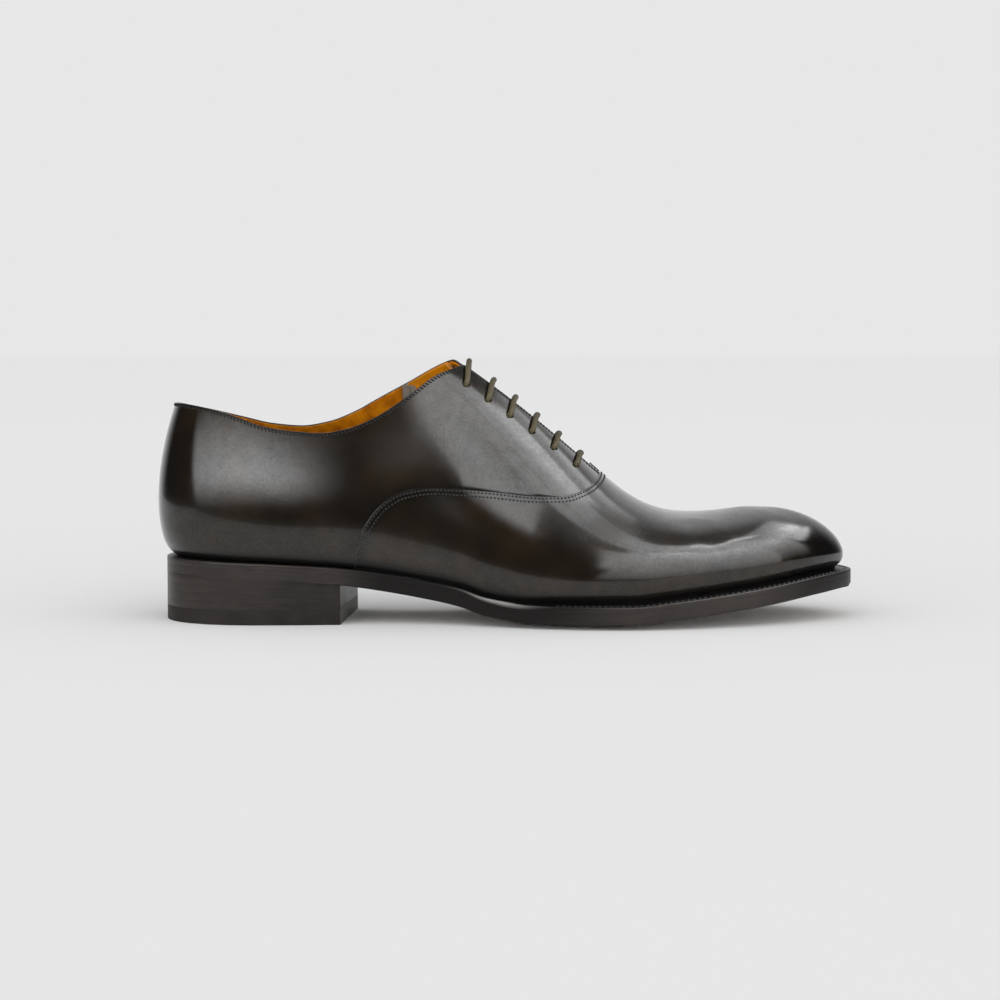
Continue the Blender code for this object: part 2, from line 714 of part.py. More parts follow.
def build_tongue(last):
    """A thin sheet under the facings, clear of them by the room that the lace needs."""
    face, back = -(WALL + LACE_ROOM), -(WALL + LACE_ROOM + TONGUE)
    bm = bmesh.new()
    twin = {}
    sides = {-1: [], 1: []}
    for k in range(TONGUE_STATIONS + 1):
        forward = k / TONGUE_STATIONS
        x = TONGUE_BACK_X + (TONGUE_FRONT_X - TONGUE_BACK_X) * forward
        half = TONGUE_HALF_BACK + (TONGUE_HALF_FRONT - TONGUE_HALF_BACK) * forward
        crowns = []
        for side, up in ((-1, TONGUE_RAISE_LATERAL), (1, TONGUE_RAISE_MEDIAL)):
            t = last.station_at(x, side)
            low = last.reach_share(t, half, face)
            high = last.highest_share(t, lambda p: p[2] < top_line_z(p[0], side) + up, face)
            low = min(low, high - TONGUE_LEAST_SHARE)
            column = []
            for j in range(TONGUE_STEPS + 1):
                v = low + (high - low) * j / TONGUE_STEPS
                vert = bm.verts.new(last.offset_point(t, v, face))
                twin[vert] = last.offset_point(t, v, back)
                column.append(vert)
            sides[side].append(column)
            crowns.append(high == 1.0)
        if all(crowns):
            twin.pop(sides[1][-1][-1])
            bm.verts.remove(sides[1][-1][-1])
            sides[1][-1][-1] = sides[-1][-1][-1]
    skin_of_sides(bm, sides[-1], sides[1])
    close_wall(bm, lambda vert: twin[vert])
    return add_object("tongue", bm, LINING)


def build_lace_bar(last, name, x, lean):
    """One straight bar from an eyelet over the crown to the eyelet opposite."""
    above = LACE_DIAMETER / 2 + LACE_CLEARANCE
    first = BAR_START[-1].climb
    rise = [BarPoint(first + (1 - first) * k / BAR_STEPS, above) for k in range(1, BAR_STEPS + 1)]
    path = []
    for side in (-1, 1):
        share = last.reach_share(last.station_at(x, side), EYELET_REACH)
        arm = []
        for place in (*BAR_START, *rise):
            t = last.station_at(x + lean * place.climb, side)
            v = share + (1 - share) * place.climb
            arm.append(Vector(last.offset_point(t, v, place.above)))
        path += arm if side < 0 else arm[-2::-1]
    bm = bmesh.new()
    angles = [2 * math.pi * k / LACE_SIDES for k in range(LACE_SIDES)]
    radius = LACE_DIAMETER / 2
    rings = []
    for k, point in enumerate(path):
        along = (path[min(k + 1, len(path) - 1)] - path[max(k - 1, 0)]).normalized()
        across = along.cross(Vector((1, 0, 0))).normalized()
        up = across.cross(along)
        ways = [across * math.cos(a) + up * math.sin(a) for a in angles]
        rings.append([bm.verts.new(point + way * radius) for way in ways])
    loft(bm, rings, cap_start=True, cap_end=True)
    return add_object(name, bm, LACE_CORD)


def main():
    for obj in list(bpy.data.objects):
        bpy.data.objects.remove(obj)
    last = Last()
    upper = build_upper(last)
    punch_eyelets(last, upper)
    build_tongue(last)
    build_insole(last)
    build_welt(last)
    build_outsole(last)
    build_heel(last, "heel_stack", SOLE_EDGE, lambda x: TOP_PIECE + GAP, lambda x: sole_middle_z(x) - GAP)
    build_heel(last, "heel_top_piece", HEEL_RUBBER, lambda x: 0.0, lambda x: TOP_PIECE)
    for k, x in enumerate(eyelet_xs()):
        build_lace_bar(last, f"lace_bar_{k + 1}", x, BAR_LEAN if k else BAR_LEAN_TOP)


main()
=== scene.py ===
"""Plain-toe oxford, a right shoe: its looks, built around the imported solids.

Frame: metres, +X to the toe, -Y to the outer (lateral) side, +Z up. The shape of the last, the top
line, the vamp's edge, the bottom and the lace holes repeat the solids' own values, so that each
piece lies where its solid is.
"""

import logging
import math
from dataclasses import dataclass
from enum import Enum, IntEnum
from typing import Any, Callable, NamedTuple, Sequence

import bmesh
import bpy
import numpy as np
import numpy.typing as npt
from mathutils import Matrix, Vector
from mathutils.bvhtree import BVHTree
from mathutils.kdtree import KDTree


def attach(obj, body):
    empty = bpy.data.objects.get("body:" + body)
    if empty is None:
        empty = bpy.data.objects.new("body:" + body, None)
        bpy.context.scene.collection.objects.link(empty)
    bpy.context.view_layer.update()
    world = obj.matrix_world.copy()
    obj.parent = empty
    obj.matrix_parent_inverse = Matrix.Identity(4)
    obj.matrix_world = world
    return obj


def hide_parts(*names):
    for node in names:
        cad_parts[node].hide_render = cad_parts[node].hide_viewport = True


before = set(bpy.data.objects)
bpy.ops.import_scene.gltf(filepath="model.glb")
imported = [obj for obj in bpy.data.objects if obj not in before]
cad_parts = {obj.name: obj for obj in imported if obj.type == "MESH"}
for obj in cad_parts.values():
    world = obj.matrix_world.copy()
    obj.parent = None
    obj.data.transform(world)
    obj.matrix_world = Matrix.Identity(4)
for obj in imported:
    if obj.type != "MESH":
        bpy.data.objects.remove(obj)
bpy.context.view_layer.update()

Floats = npt.NDArray[np.float64]
Ints = npt.NDArray[np.int64]
Bools = npt.NDArray[np.bool_]
Colour = tuple[float, float, float]
Corners = list[tuple[int, ...]]
Faces = Sequence[Sequence[int]]
Layers = dict[str, Floats]
Rule = Callable[[Floats], Floats]
Piece = bpy.types.Object
Socket = bpy.types.NodeSocket
log = logging.getLogger("oxford")

MM = 0.001

# Driving sizes of the last and of the bottom
LAST_LENGTH = 299.5 * MM
HEEL_X = -149.815 * MM
MIDDLE_Y = 0.220 * MM
HALF_BALL = 48.0 * MM
INSTEP = 100.0 * MM
HEEL_HEIGHT = 20.0 * MM
TOE_SPRING = 13.0 * MM
SWELL = 10.0 * MM
WALL = 2.0 * MM
VAMP_STEP = 0.8 * MM
OUTSOLE = 5.0 * MM
WELT = 2.6 * MM
WELT_REACH = 7.0 * MM
EDGE_LIFT = 2.2 * MM
INSOLE = 2.4 * MM
TOP_PIECE = 6.5 * MM
TONGUE = 1.8 * MM
GAP = 0.3 * MM

# Throat and lacing
VAMP_POINT = 42.0 * MM
THROAT_GAP_LOW, THROAT_GAP_TOP = 2.4 * MM, 7.0 * MM
FACING_TOP = -19.0 * MM
THROAT_START = -60.0 * MM
CORNER_ROUNDING = 0.03
EYELET_DIAMETER = 3.8 * MM
EYELET_TOP_X, EYELET_LOW_X, EYELET_ROWS = -17.5 * MM, 31.2 * MM, 6
EYELET_REACH = 16.1 * MM
LACE_DIAMETER = 2.3 * MM
LACE_CLEARANCE = 0.25 * MM
LACE_ROOM = 2.9 * MM
BAR_LEAN, BAR_LEAN_TOP = 1.6 * MM, 0.3 * MM
ASIDE = 1.35 * MM
BREAST_LATERAL_X, BREAST_MEDIAL_X = -72.6 * MM, -68.0 * MM

# Behind BACK_X the top lines of the two sides run into each other, over BACK_BLEND from the middle
BACK_X, BACK_BLEND = -120.0 * MM, 14.0 * MM

HALVINGS = 44
LENGTH_SAMPLES = 200
TABLE_SAMPLES = 4000
SHARP = 50.0


class Side(IntEnum):
    """The two sides of the shoe, by the sign of their Y."""

    LATERAL = -1
    MEDIAL = 1


class Section(NamedTuple):
    """A section of the last, in shares of its length, half breadth, swell unit and instep."""

    along: float
    lateral: float
    medial: float
    swell_lateral: float
    swell_medial: float
    rise: float
    spread: float
    drop: float
    crown_along: float
    crown_side: float
    crown: float
    ledge: float


SECTIONS = tuple(Section(*row) for row in (
    (0.000, 0.000, 0.000, 1.28, 1.28, 0.20, 1.11, 0.450, 0.105, 0.00, 1.500, 1.8),
    (0.018, 0.355, 0.355, 1.19, 1.19, 0.20, 1.08, 0.450, 0.112, 0.00, 1.500, 1.8),
    (0.065, 0.575, 0.575, 0.98, 0.98, 0.20, 1.00, 0.440, 0.139, 0.00, 1.500, 1.7),
    (0.149, 0.655, 0.645, 0.72, 0.72, 0.20, 0.93, 0.430, 0.182, 0.00, 1.480, 1.6),
    (0.265, 0.615, 0.605, 0.70, 0.80, 0.22, 0.90, 0.360, 0.272, 0.01, 1.420, 1.2),
    (0.382, 0.635, 0.545, 0.50, 0.90, 0.24, 0.82, 0.120, 0.382, 0.03, 1.260, 0.8),
    (0.499, 0.830, 0.650, 0.92, 0.95, 0.29, 0.50, 0.015, 0.499, 0.04, 1.005, 2.4),
    (0.599, 0.975, 0.870, 1.06, 0.95, 0.28, 0.43, 0.000, 0.599, 0.07, 0.752, 4.0),
    (0.699, 0.975, 0.975, 1.28, 1.00, 0.285, 0.45, 0.000, 0.699, 0.09, 0.513, 4.9),
    (0.800, 0.830, 0.945, 1.24, 1.00, 0.25, 0.50, 0.000, 0.790, 0.11, 0.461, 4.9),
    (0.893, 0.582, 0.822, 1.08, 0.95, 0.208, 0.57, 0.000, 0.847, 0.12, 0.481, 5.0),
    (0.960, 0.275, 0.600, 0.82, 0.80, 0.155, 0.64, 0.000, 0.873, 0.12, 0.483, 5.3),
    (0.990, 0.050, 0.355, 0.68, 0.68, 0.118, 0.69, 0.000, 0.887, 0.12, 0.482, 5.5),
    (1.000, -0.125, 0.125, 0.69, 0.69, 0.10, 0.70, 0.003, 0.890, 0.12, 0.482, 5.6),
))


class Bottom(NamedTuple):
    """Side profile of the bottom, in shares of heel height, toe spring, edge lift and sole."""

    along: float
    heel: float
    toe: float
    lift: float
    sole: float


BOTTOM = tuple(Bottom(*row) for row in (
    (-0.01, 1.080, 0.000, 0.0, 0.72),
    (0.14, 1.010, 0.000, 0.0, 0.74),
    (0.22, 0.930, 0.000, 0.0, 0.80),
    (0.285, 0.800, 0.000, 0.1, 0.92),
    (0.37, 0.580, 0.000, 0.2, 1.00),
    (0.435, 0.375, 0.000, 0.3, 1.00),
    (0.465, 0.200, 0.000, 0.5, 1.00),
    (0.50, 0.075, 0.000, 0.8, 1.00),
    (0.535, 0.000, 0.000, 1.0, 1.00),
    (0.68, 0.000, 0.000, 1.0, 1.00),
    (0.745, 0.000, 0.155, 0.9, 1.00),
    (0.815, 0.000, 0.350, 0.8, 1.00),
    (0.89, 0.000, 0.590, 0.7, 1.00),
    (0.965, 0.000, 0.880, 0.5, 0.96),
    (1.02, 0.000, 1.020, 0.3, 0.92),
))


class TopLine(NamedTuple):
    """Top line of the collar in side view, in shares of the last's length and the instep."""

    along: float
    lateral: float
    medial: float


TOP_LINE = tuple(TopLine(*row) for row in (
    (-0.02, 0.975, 0.970),
    (0.005, 0.970, 0.962),
    (0.030, 0.963, 0.941),
    (0.055, 0.952, 0.922),
    (0.080, 0.935, 0.903),
    (0.105, 0.913, 0.884),
    (0.145, 0.870, 0.857),
    (0.190, 0.848, 0.846),
    (0.230, 0.840, 0.865),
    (0.270, 0.860, 0.911),
    (0.310, 0.910, 0.979),
    (0.355, 0.998, 1.053),
    (0.400, 1.094, 1.130),
    (0.430, 1.128, 1.168),
    (0.460, 1.160, 1.190),
))


class SeamPoint(NamedTuple):
    """Edge of the vamp over the quarters in side view, in the same shares."""

    along: float
    height: float


VAMP_SEAM = tuple(SeamPoint(*row) for row in (
    (0.262, -0.200),
    (0.2785, 0.270),
    (0.2835, 0.355),
    (0.2905, 0.415),
    (0.3065, 0.490),
    (0.3245, 0.543),
    (0.352, 0.583),
    (0.392, 0.601),
    (0.472, 0.588),
    (0.546, 0.565),
    (0.583, 0.563),
    (0.610, 0.582),
    (0.631, 0.618),
    (0.643, 0.665),
    (0.665, 0.900),
))


class Rail(IntEnum):
    """Columns of the values that run round the last."""

    X = 0
    Y = 1
    SWELL = 2
    RISE = 3
    SPREAD = 4
    DROP = 5
    CROWN_X = 6
    CROWN_Y = 7
    CROWN_Z = 8
    LEDGE = 9


def unit(vectors: Floats) -> Floats:
    """Vectors of length one along the last axis."""
    return vectors / np.maximum(np.linalg.norm(vectors, axis=-1, keepdims=True), 1e-12)


def smooth_step(values: Floats, low: float, high: float) -> Floats:
    """A soft rise from 0 at low to 1 at high."""
    s = np.clip((np.asarray(values, float) - low) / (high - low), 0.0, 1.0)
    return s * s * (3 - 2 * s)


def bump(values: Floats, centre: float, width: float) -> Floats:
    """A soft bell of height one, width wide to each side of centre."""
    return np.exp(-(((np.asarray(values, float) - centre) / width) ** 2))


def smooth_table(table: Sequence[Any], column: str, x: Floats) -> Floats:
    """A table's column at x along the shoe, by cubics that keep between neighbouring rows.

    Args:
        table: Rows with an "along" column in shares of the last's length.
        column: The column that is wanted.
        x: Places along the shoe in metres.

    Returns:
        The column's value at each place.
    """
    along = np.array([row.along for row in table])
    values = np.array([getattr(row, column) for row in table])
    share = np.clip((np.asarray(x, float) - HEEL_X) / LAST_LENGTH, along[0], along[-1])
    gaps = np.diff(along)
    slopes = np.diff(values) / gaps
    product = slopes[:-1] * slopes[1:]
    total = np.where(product > 0, slopes[:-1] + slopes[1:], 1.0)
    tangents = np.zeros(len(values))
    tangents[1:-1] = np.where(product > 0, 2 * product / total, 0.0)
    i = np.clip(np.searchsorted(along, share, side="right") - 1, 0, len(gaps) - 1)
    s = (share - along[i]) / gaps[i]
    start, end = tangents[i] * gaps[i], tangents[i + 1] * gaps[i]
    rise = values[i + 1] - values[i]
    return values[i] + s * start + s * s * (3 * rise - 2 * start - end) + s**3 * (start + end - 2 * rise)


def interp_rows(wanted: Floats, lengths: Floats, shares: Floats) -> Floats:
    """Shares at the wanted lengths, row by row."""
    return np.array([np.interp(w, length, share) for w, length, share in zip(wanted, lengths, shares)])


def with_row(grid: Floats, row: Floats) -> Floats:
    """A grid with one more row at its lower end."""
    return np.concatenate([grid, row[:, None]], axis=1)


def rounding(down: Floats, radius: float) -> Floats:
    """How far a rounded edge stands back from its face, by the length from the edge."""
    return radius - np.sqrt(radius**2 - np.clip(radius - down, 0, radius) ** 2)


def sole_edge_z(x: Floats) -> Floats:
    """Height of the outsole's lower edge."""
    heel = smooth_table(BOTTOM, "heel", x) * HEEL_HEIGHT
    toe = smooth_table(BOTTOM, "toe", x) * TOE_SPRING
    return heel + toe + smooth_table(BOTTOM, "lift", x) * EDGE_LIFT


def sole_middle_z(x: Floats) -> Floats:
    """Height of the outsole's underside along the middle."""
    return sole_edge_z(x) - smooth_table(BOTTOM, "lift", x) * EDGE_LIFT


def outsole_top_z(x: Floats) -> Floats:
    """Height of the outsole's upper face."""
    return sole_edge_z(x) + smooth_table(BOTTOM, "sole", x) * OUTSOLE


def welt_top_z(x: Floats) -> Floats:
    """Height of the welt's upper face."""
    return outsole_top_z(x) + GAP + WELT


def feather_z(x: Floats) -> Floats:
    """Height of the line where the upper meets the welt."""
    return welt_top_z(x) + GAP


def undercut(points: Floats, depth: float, tall: float) -> Floats:
    """How far the leather turns in above the welt: by depth at the feather line, from tall above it."""
    rise = np.clip((points[..., 2] - feather_z(points[..., 0])) / tall, 0.0, 1.0)
    return depth * (1 - rise) ** 2


def shaded_dull_border(points: Floats, high: float) -> Floats:
    """Share of the painted shade and the dullness over the welt, which ends at that height."""
    return 0.95 * (1 - smooth_step(points[..., 2] - feather_z(points[..., 0]), 1.5 * MM, high))


class PeriodicSpline:
    """Smooth closed curve through rows of values at increasing parameters."""

    def __init__(self, knots: Floats, period: float, rows: Floats) -> None:
        """Solves for the bends at the knots.

        Args:
            knots: Increasing parameters of the rows.
            period: Parameter length of the whole curve.
            rows: One row of values for each knot.
        """
        self.knots = np.append(knots, knots[0] + period)
        self.period = period
        self.rows = np.vstack([rows, rows[:1]])
        count = len(rows)
        gaps = np.diff(self.knots)
        matrix = np.zeros((count, count))
        right = np.zeros((count, self.rows.shape[1]))
        for i in range(count):
            before, after = gaps[i - 1], gaps[i]
            matrix[i, i - 1] += before
            matrix[i, i] += 2 * (before + after)
            matrix[i, (i + 1) % count] += after
            rising = (self.rows[i + 1] - self.rows[i]) / after
            arriving = (self.rows[i] - self.rows[i - 1 if i else count - 1]) / before
            right[i] = 6 * (rising - arriving)
        bends = np.linalg.solve(matrix, right)
        self.bends = np.vstack([bends, bends[:1]])

    def at(self, t: Floats) -> Floats:
        """The curve's values.

        Args:
            t: Parameters, of any shape.

        Returns:
            An array of that shape with one more axis for the values.
        """
        t = self.knots[0] + (np.asarray(t, float) - self.knots[0]) % self.period
        i = np.clip(np.searchsorted(self.knots, t, side="right") - 1, 0, len(self.knots) - 2)
        gap = self.knots[i + 1] - self.knots[i]
        a, b = ((self.knots[i + 1] - t) / gap)[..., None], ((t - self.knots[i]) / gap)[..., None]
        curve = (a**3 - a) * self.bends[i] + (b**3 - b) * self.bends[i + 1]
        return a * self.rows[i] + b * self.rows[i + 1] + curve * (gap * gap)[..., None] / 6


class Last:
    """The shape under the upper.

    A station t counts from the heel, along the lateral side to the toe and back along the medial
    side; a negative t counts along the medial side. At each station a cubic climbs, with v from 0
    to 1, from the feather line round the shoulder to the crown.
    """

    def __init__(self) -> None:
        """Runs the rails through the sections of both sides."""
        lateral = [self.row(s, Side.LATERAL) for s in SECTIONS]
        medial = [self.row(s, Side.MEDIAL) for s in SECTIONS]
        steps = [
            (math.dist(a[:2], b[:2]) + math.dist(c[:2], d[:2])) / 2
            for a, b, c, d in zip(lateral, lateral[1:], medial, medial[1:])
        ]
        side_knots = np.concatenate([[0.0], np.cumsum(steps)])
        self.toe = float(side_knots[-1])
        knots = np.concatenate([side_knots, 2 * self.toe - side_knots[-2:0:-1]])
        self.rails = PeriodicSpline(knots, 2 * self.toe, np.array(lateral + medial[-2:0:-1]))
        self.sampled = np.linspace(0.0, self.toe, TABLE_SAMPLES)
        self.sampled_rails = self.rails.at(self.sampled)

    @staticmethod
    def row(s: Section, side: Side) -> tuple[float, ...]:
        """The rails' values at one section.

        Args:
            s: The section.
            side: The side of the shoe.

        Returns:
            One value for each column of Rail.
        """
        breadth = -s.lateral if side < 0 else s.medial
        swell = s.swell_lateral if side < 0 else s.swell_medial
        return (
            HEEL_X + s.along * LAST_LENGTH,
            MIDDLE_Y + breadth * HALF_BALL,
            swell * SWELL,
            s.rise * INSTEP,
            s.spread,
            s.drop * INSTEP,
            HEEL_X + s.crown_along * LAST_LENGTH,
            MIDDLE_Y + s.crown_side * HALF_BALL,
            s.crown * INSTEP,
            s.ledge * MM,
        )

    def rail(self, t: Floats, column: Rail) -> Floats:
        """One column of the rails."""
        return self.rails.at(t)[..., column]

    def side_of(self, t: Floats) -> Ints:
        """-1 on the lateral side, 1 on the medial side."""
        return np.where(np.asarray(t) % (2 * self.toe) <= self.toe, -1, 1)

    def station_at(self, x: Floats, side: int, column: Rail = Rail.CROWN_X) -> Floats:
        """Signed station whose crown, or other rail, lies at x; negative on the medial side."""
        return -side * np.interp(x, self.sampled_rails[:, column], self.sampled)

    def outward(self, t: Floats) -> Floats:
        """Unit normal of the feather line in plan."""
        step = self.toe * 1e-4
        along = self.rails.at(np.asarray(t) + step)[..., :2] - self.rails.at(np.asarray(t) - step)[..., :2]
        return unit(np.stack([along[..., 1], -along[..., 0]], axis=-1))

    def inward(self, t: Floats) -> Floats:
        """Level unit vectors from the feather line into the shoe."""
        return np.concatenate([-self.outward(t), np.zeros((len(t), 1))], axis=1)

    def plan(self, t: Floats, offset: Floats) -> Floats:
        """Plan points that far outside the feather line."""
        return self.rails.at(t)[..., :2] + self.outward(t) * np.asarray(offset)[..., None]

    def point(self, t: Floats, v: Floats) -> Floats:
        """Points of the last's skin.

        Args:
            t: Stations.
            v: Shares of the climb from the feather line to the crown.

        Returns:
            The points, with a last axis of x, y, z.
        """
        t, v = np.broadcast_arrays(np.asarray(t, float), np.asarray(v, float))
        r = self.rails.at(t)
        n = self.outward(t)
        foot = np.stack([r[..., Rail.X], r[..., Rail.Y], feather_z(r[..., Rail.X])], axis=-1)
        reach = r[..., Rail.SWELL]
        swell = foot + np.stack([n[..., 0] * reach, n[..., 1] * reach, r[..., Rail.RISE]], axis=-1)
        crown = r[..., Rail.CROWN_X : Rail.CROWN_Z + 1]
        shoulder = crown + r[..., Rail.SPREAD, None] * (foot - crown)
        shoulder[..., 2] = crown[..., 2] - r[..., Rail.DROP]
        v = v[..., None]
        w = 1 - v
        return w**3 * foot + 3 * w * w * v * swell + 3 * w * v * v * shoulder + v**3 * crown

    def normal(self, t: Floats, v: Floats) -> Floats:
        """Outward unit normals of the last's skin."""
        t, v = np.broadcast_arrays(np.asarray(t, float), np.asarray(v, float))
        dt, dv = self.toe * 1e-4, 1e-4
        along = self.point(t + dt, v) - self.point(t - dt, v)
        across = self.point(t, np.minimum(v + dv, 1)) - self.point(t, np.maximum(v - dv, 0))
        return unit(np.cross(along, across))

    def skin(self, t: Floats, v: Floats) -> tuple[Floats, Floats]:
        """Points and normals at the rows of each station."""
        stations = np.broadcast_to(t[:, None], v.shape)
        return self.point(stations, v), self.normal(stations, v)

    def offset(self, t: Floats, v: Floats, height: Floats) -> Floats:
        """Points that far outside the last's skin."""
        return self.point(t, v) + self.normal(t, v) * np.asarray(height)[..., None]

    def highest_share(self, t: Floats, keep: Callable[[Floats], Bools], height: float = 0.0) -> Floats:
        """The highest v up to which a test of the skin's points holds.

        Args:
            t: Stations.
            keep: The test, of an array of points.
            height: How far outside the skin the points lie.

        Returns:
            One share for each station.
        """
        t = np.asarray(t, float)
        low, high = np.zeros_like(t), np.ones_like(t)
        whole = keep(self.offset(t, high, np.full_like(t, height)))
        for _ in range(HALVINGS):
            middle = (low + high) / 2
            held = keep(self.offset(t, middle, np.full_like(t, height)))
            low, high = np.where(held, middle, low), np.where(held, high, middle)
        return np.where(whole, 1.0, low)

    def top_line_share(self, t: Floats, raised: Floats | float = 0.0, height: float = 0.0) -> Floats:
        """v at the collar's top line, or at a line that far above it."""
        side = self.side_of(t)

        def below(p: Floats) -> Bools:
            """True under the line."""
            lateral = smooth_table(TOP_LINE, "lateral", p[..., 0])
            medial = smooth_table(TOP_LINE, "medial", p[..., 0])
            across = smooth_step(p[..., 1], -BACK_BLEND, BACK_BLEND)
            share = np.where(p[..., 0] < BACK_X, across, side > 0)
            return p[..., 2] < (lateral + (medial - lateral) * share) * INSTEP + raised

        return self.highest_share(t, below, height)

    def edge_share(self, t: Floats, throat_end: float = VAMP_POINT) -> Floats:
        """v at the top line, the facing's edge or the crown, with the facing's corner rounded.

        Args:
            t: Stations.
            throat_end: Crown place at which the facings stop.

        Returns:
            One share for each station.
        """
        side = self.side_of(t)
        crown_x, crown_y = self.rail(t, Rail.CROWN_X), self.rail(t, Rail.CROWN_Y)
        by_height = self.top_line_share(t)
        up = np.clip((VAMP_POINT - crown_x) / (VAMP_POINT - FACING_TOP), 0.0, 1.0)
        half = (THROAT_GAP_LOW + (THROAT_GAP_TOP - THROAT_GAP_LOW) * up) / 2
        by_gap = self.highest_share(t, lambda p: side * (p[..., 1] - crown_y) > half)
        rounded = (by_height + by_gap - np.hypot(by_height - by_gap, CORNER_ROUNDING)) / 2
        return np.where((crown_x > THROAT_START) & (crown_x < throat_end), rounded, by_height)

    def seam_share(self, t: Floats) -> Floats:
        """v at the vamp's edge; 0 where the quarters reach the welt and 1 where the vamp is whole."""

        def on_vamp(p: Floats) -> Bools:
            """True under the vamp's edge."""
            return p[..., 2] < smooth_table(VAMP_SEAM, "height", p[..., 0]) * INSTEP

        return self.highest_share(t, on_vamp)

    def lengths(self, t: Floats, start: Floats, end: Floats, height: float = 0.0) -> tuple[Floats, Floats]:
        """Shares along each station's curve and the lengths up to them.

        Args:
            t: Stations.
            start: Share at which each curve starts.
            end: Share at which it ends.
            height: How far outside the skin it runs.

        Returns:
            The shares and the lengths, one row for each station.
        """
        s = np.linspace(0.0, 1.0, LENGTH_SAMPLES)
        shares = start[:, None] + (end - start)[:, None] * s
        points = self.offset(np.broadcast_to(t[:, None], shares.shape), shares, np.full(shares.shape, height))
        steps = np.linalg.norm(np.diff(points, axis=1), axis=-1)
        return shares, np.concatenate([np.zeros((len(t), 1)), np.cumsum(steps, axis=1)], axis=1)

    def reach_share(self, t: Floats, reach: Floats | float, height: float = 0.0) -> Floats:
        """v at a length measured down the leather from the crown."""
        t = np.atleast_1d(np.asarray(t, float))
        reach = np.broadcast_to(np.asarray(reach, float), t.shape)
        shares, lengths = self.lengths(t, np.ones_like(t), np.zeros_like(t), height)
        return interp_rows(reach, lengths, shares)

    def rows_down(
        self, t: Floats, top: Floats, low: Floats, near: Sequence[float], rest: int
    ) -> tuple[Floats, Floats]:
        """Rows of a sheet, close together under its top edge and even below.

        Args:
            t: Stations.
            top: Share of each column's top.
            low: Share of its lower end.
            near: Lengths of the close rows under the top.
            rest: Number of even rows below them.

        Returns:
            Shares and lengths from the top, both by station and row.
        """
        shares, lengths = self.lengths(t, top, low)
        whole = lengths[:, -1]
        close = np.asarray(near)[None, :] * np.minimum(1.0, whole / (near[-1] * 1.6))[:, None]
        even = close[:, -1:] + (whole[:, None] - close[:, -1:]) * np.linspace(0, 1, rest + 1)[1:]
        wanted = np.concatenate([close, even], axis=1)
        return interp_rows(wanted, lengths, shares), wanted


def spaced(start: float, end: float, spacing: Rule) -> Floats:
    """Places from start to end with a spacing that changes on the way.

    Args:
        start: The first place.
        end: The last place.
        spacing: The wanted spacing at each place.

    Returns:
        The places, both ends included.
    """
    fine = np.linspace(start, end, TABLE_SAMPLES)
    density = 1.0 / spacing(fine)
    steps = (density[1:] + density[:-1]) / 2 * np.abs(np.diff(fine))
    count = np.concatenate([[0.0], np.cumsum(steps)])
    return np.interp(np.linspace(0, count[-1], max(int(round(count[-1])), 2) + 1), count, fine)


def evenly(start: float, end: float, apart: float) -> Floats:
    """Places from start to end, about that far apart."""
    return spaced(start, end, lambda s: np.full_like(s, apart))


def resampled(points: Floats, spacing: float) -> tuple[Floats, Floats]:
    """A polyline with even spacing.

    Args:
        points: Its corners.
        spacing: The wanted distance between the new corners.

    Returns:
        The new corners, and their places among the old ones as fractional indices.
    """
    steps = np.linalg.norm(np.diff(points, axis=0), axis=1)
    length = np.concatenate([[0.0], np.cumsum(steps)])
    wanted = np.linspace(0, length[-1], max(int(round(length[-1] / spacing)), 1) + 1)
    index = np.interp(wanted, length, np.arange(len(points)))
    return np.stack([np.interp(wanted, length, points[:, k]) for k in range(3)], axis=1), index


def compact(points: Floats, faces: Faces) -> tuple[Ints, Corners]:
    """Drops corners that no face uses and sides of no length.

    Args:
        points: All corners.
        faces: Corner numbers of each face.

    Returns:
        The kept corners' numbers, and the faces in the new numbering.
    """
    clean = []
    for face in faces:
        corners = tuple(c for k, c in enumerate(face) if c not in face[:k])
        if len(corners) >= 3:
            clean.append(corners)
    used = np.unique(np.concatenate([np.array(f) for f in clean]))
    place = np.full(len(points), -1)
    place[used] = np.arange(len(used))
    return used, [tuple(int(place[c]) for c in face) for face in clean]


def grid_faces(ids: Ints, wrap_columns: bool = False, wrap_rows: bool = False) -> Corners:
    """Four-cornered faces over a grid of corner numbers.

    Args:
        ids: Corner numbers by column and row.
        wrap_columns: True where the last column meets the first.
        wrap_rows: True where the last row meets the first.

    Returns:
        The faces' corner numbers.
    """
    if wrap_columns:
        ids = np.concatenate([ids, ids[:1]], axis=0)
    if wrap_rows:
        ids = np.concatenate([ids, ids[:, :1]], axis=1)
    quads = np.stack([ids[:-1, :-1], ids[1:, :-1], ids[1:, 1:], ids[:-1, 1:]], axis=-1)
    return [tuple(int(c) for c in quad) for quad in quads.reshape(-1, 4)]


def caps(ids: Ints) -> Corners:
    """Faces that close both ends of a grid of rings."""
    return [tuple(int(c) for c in ids[0][::-1]), tuple(int(c) for c in ids[-1])]


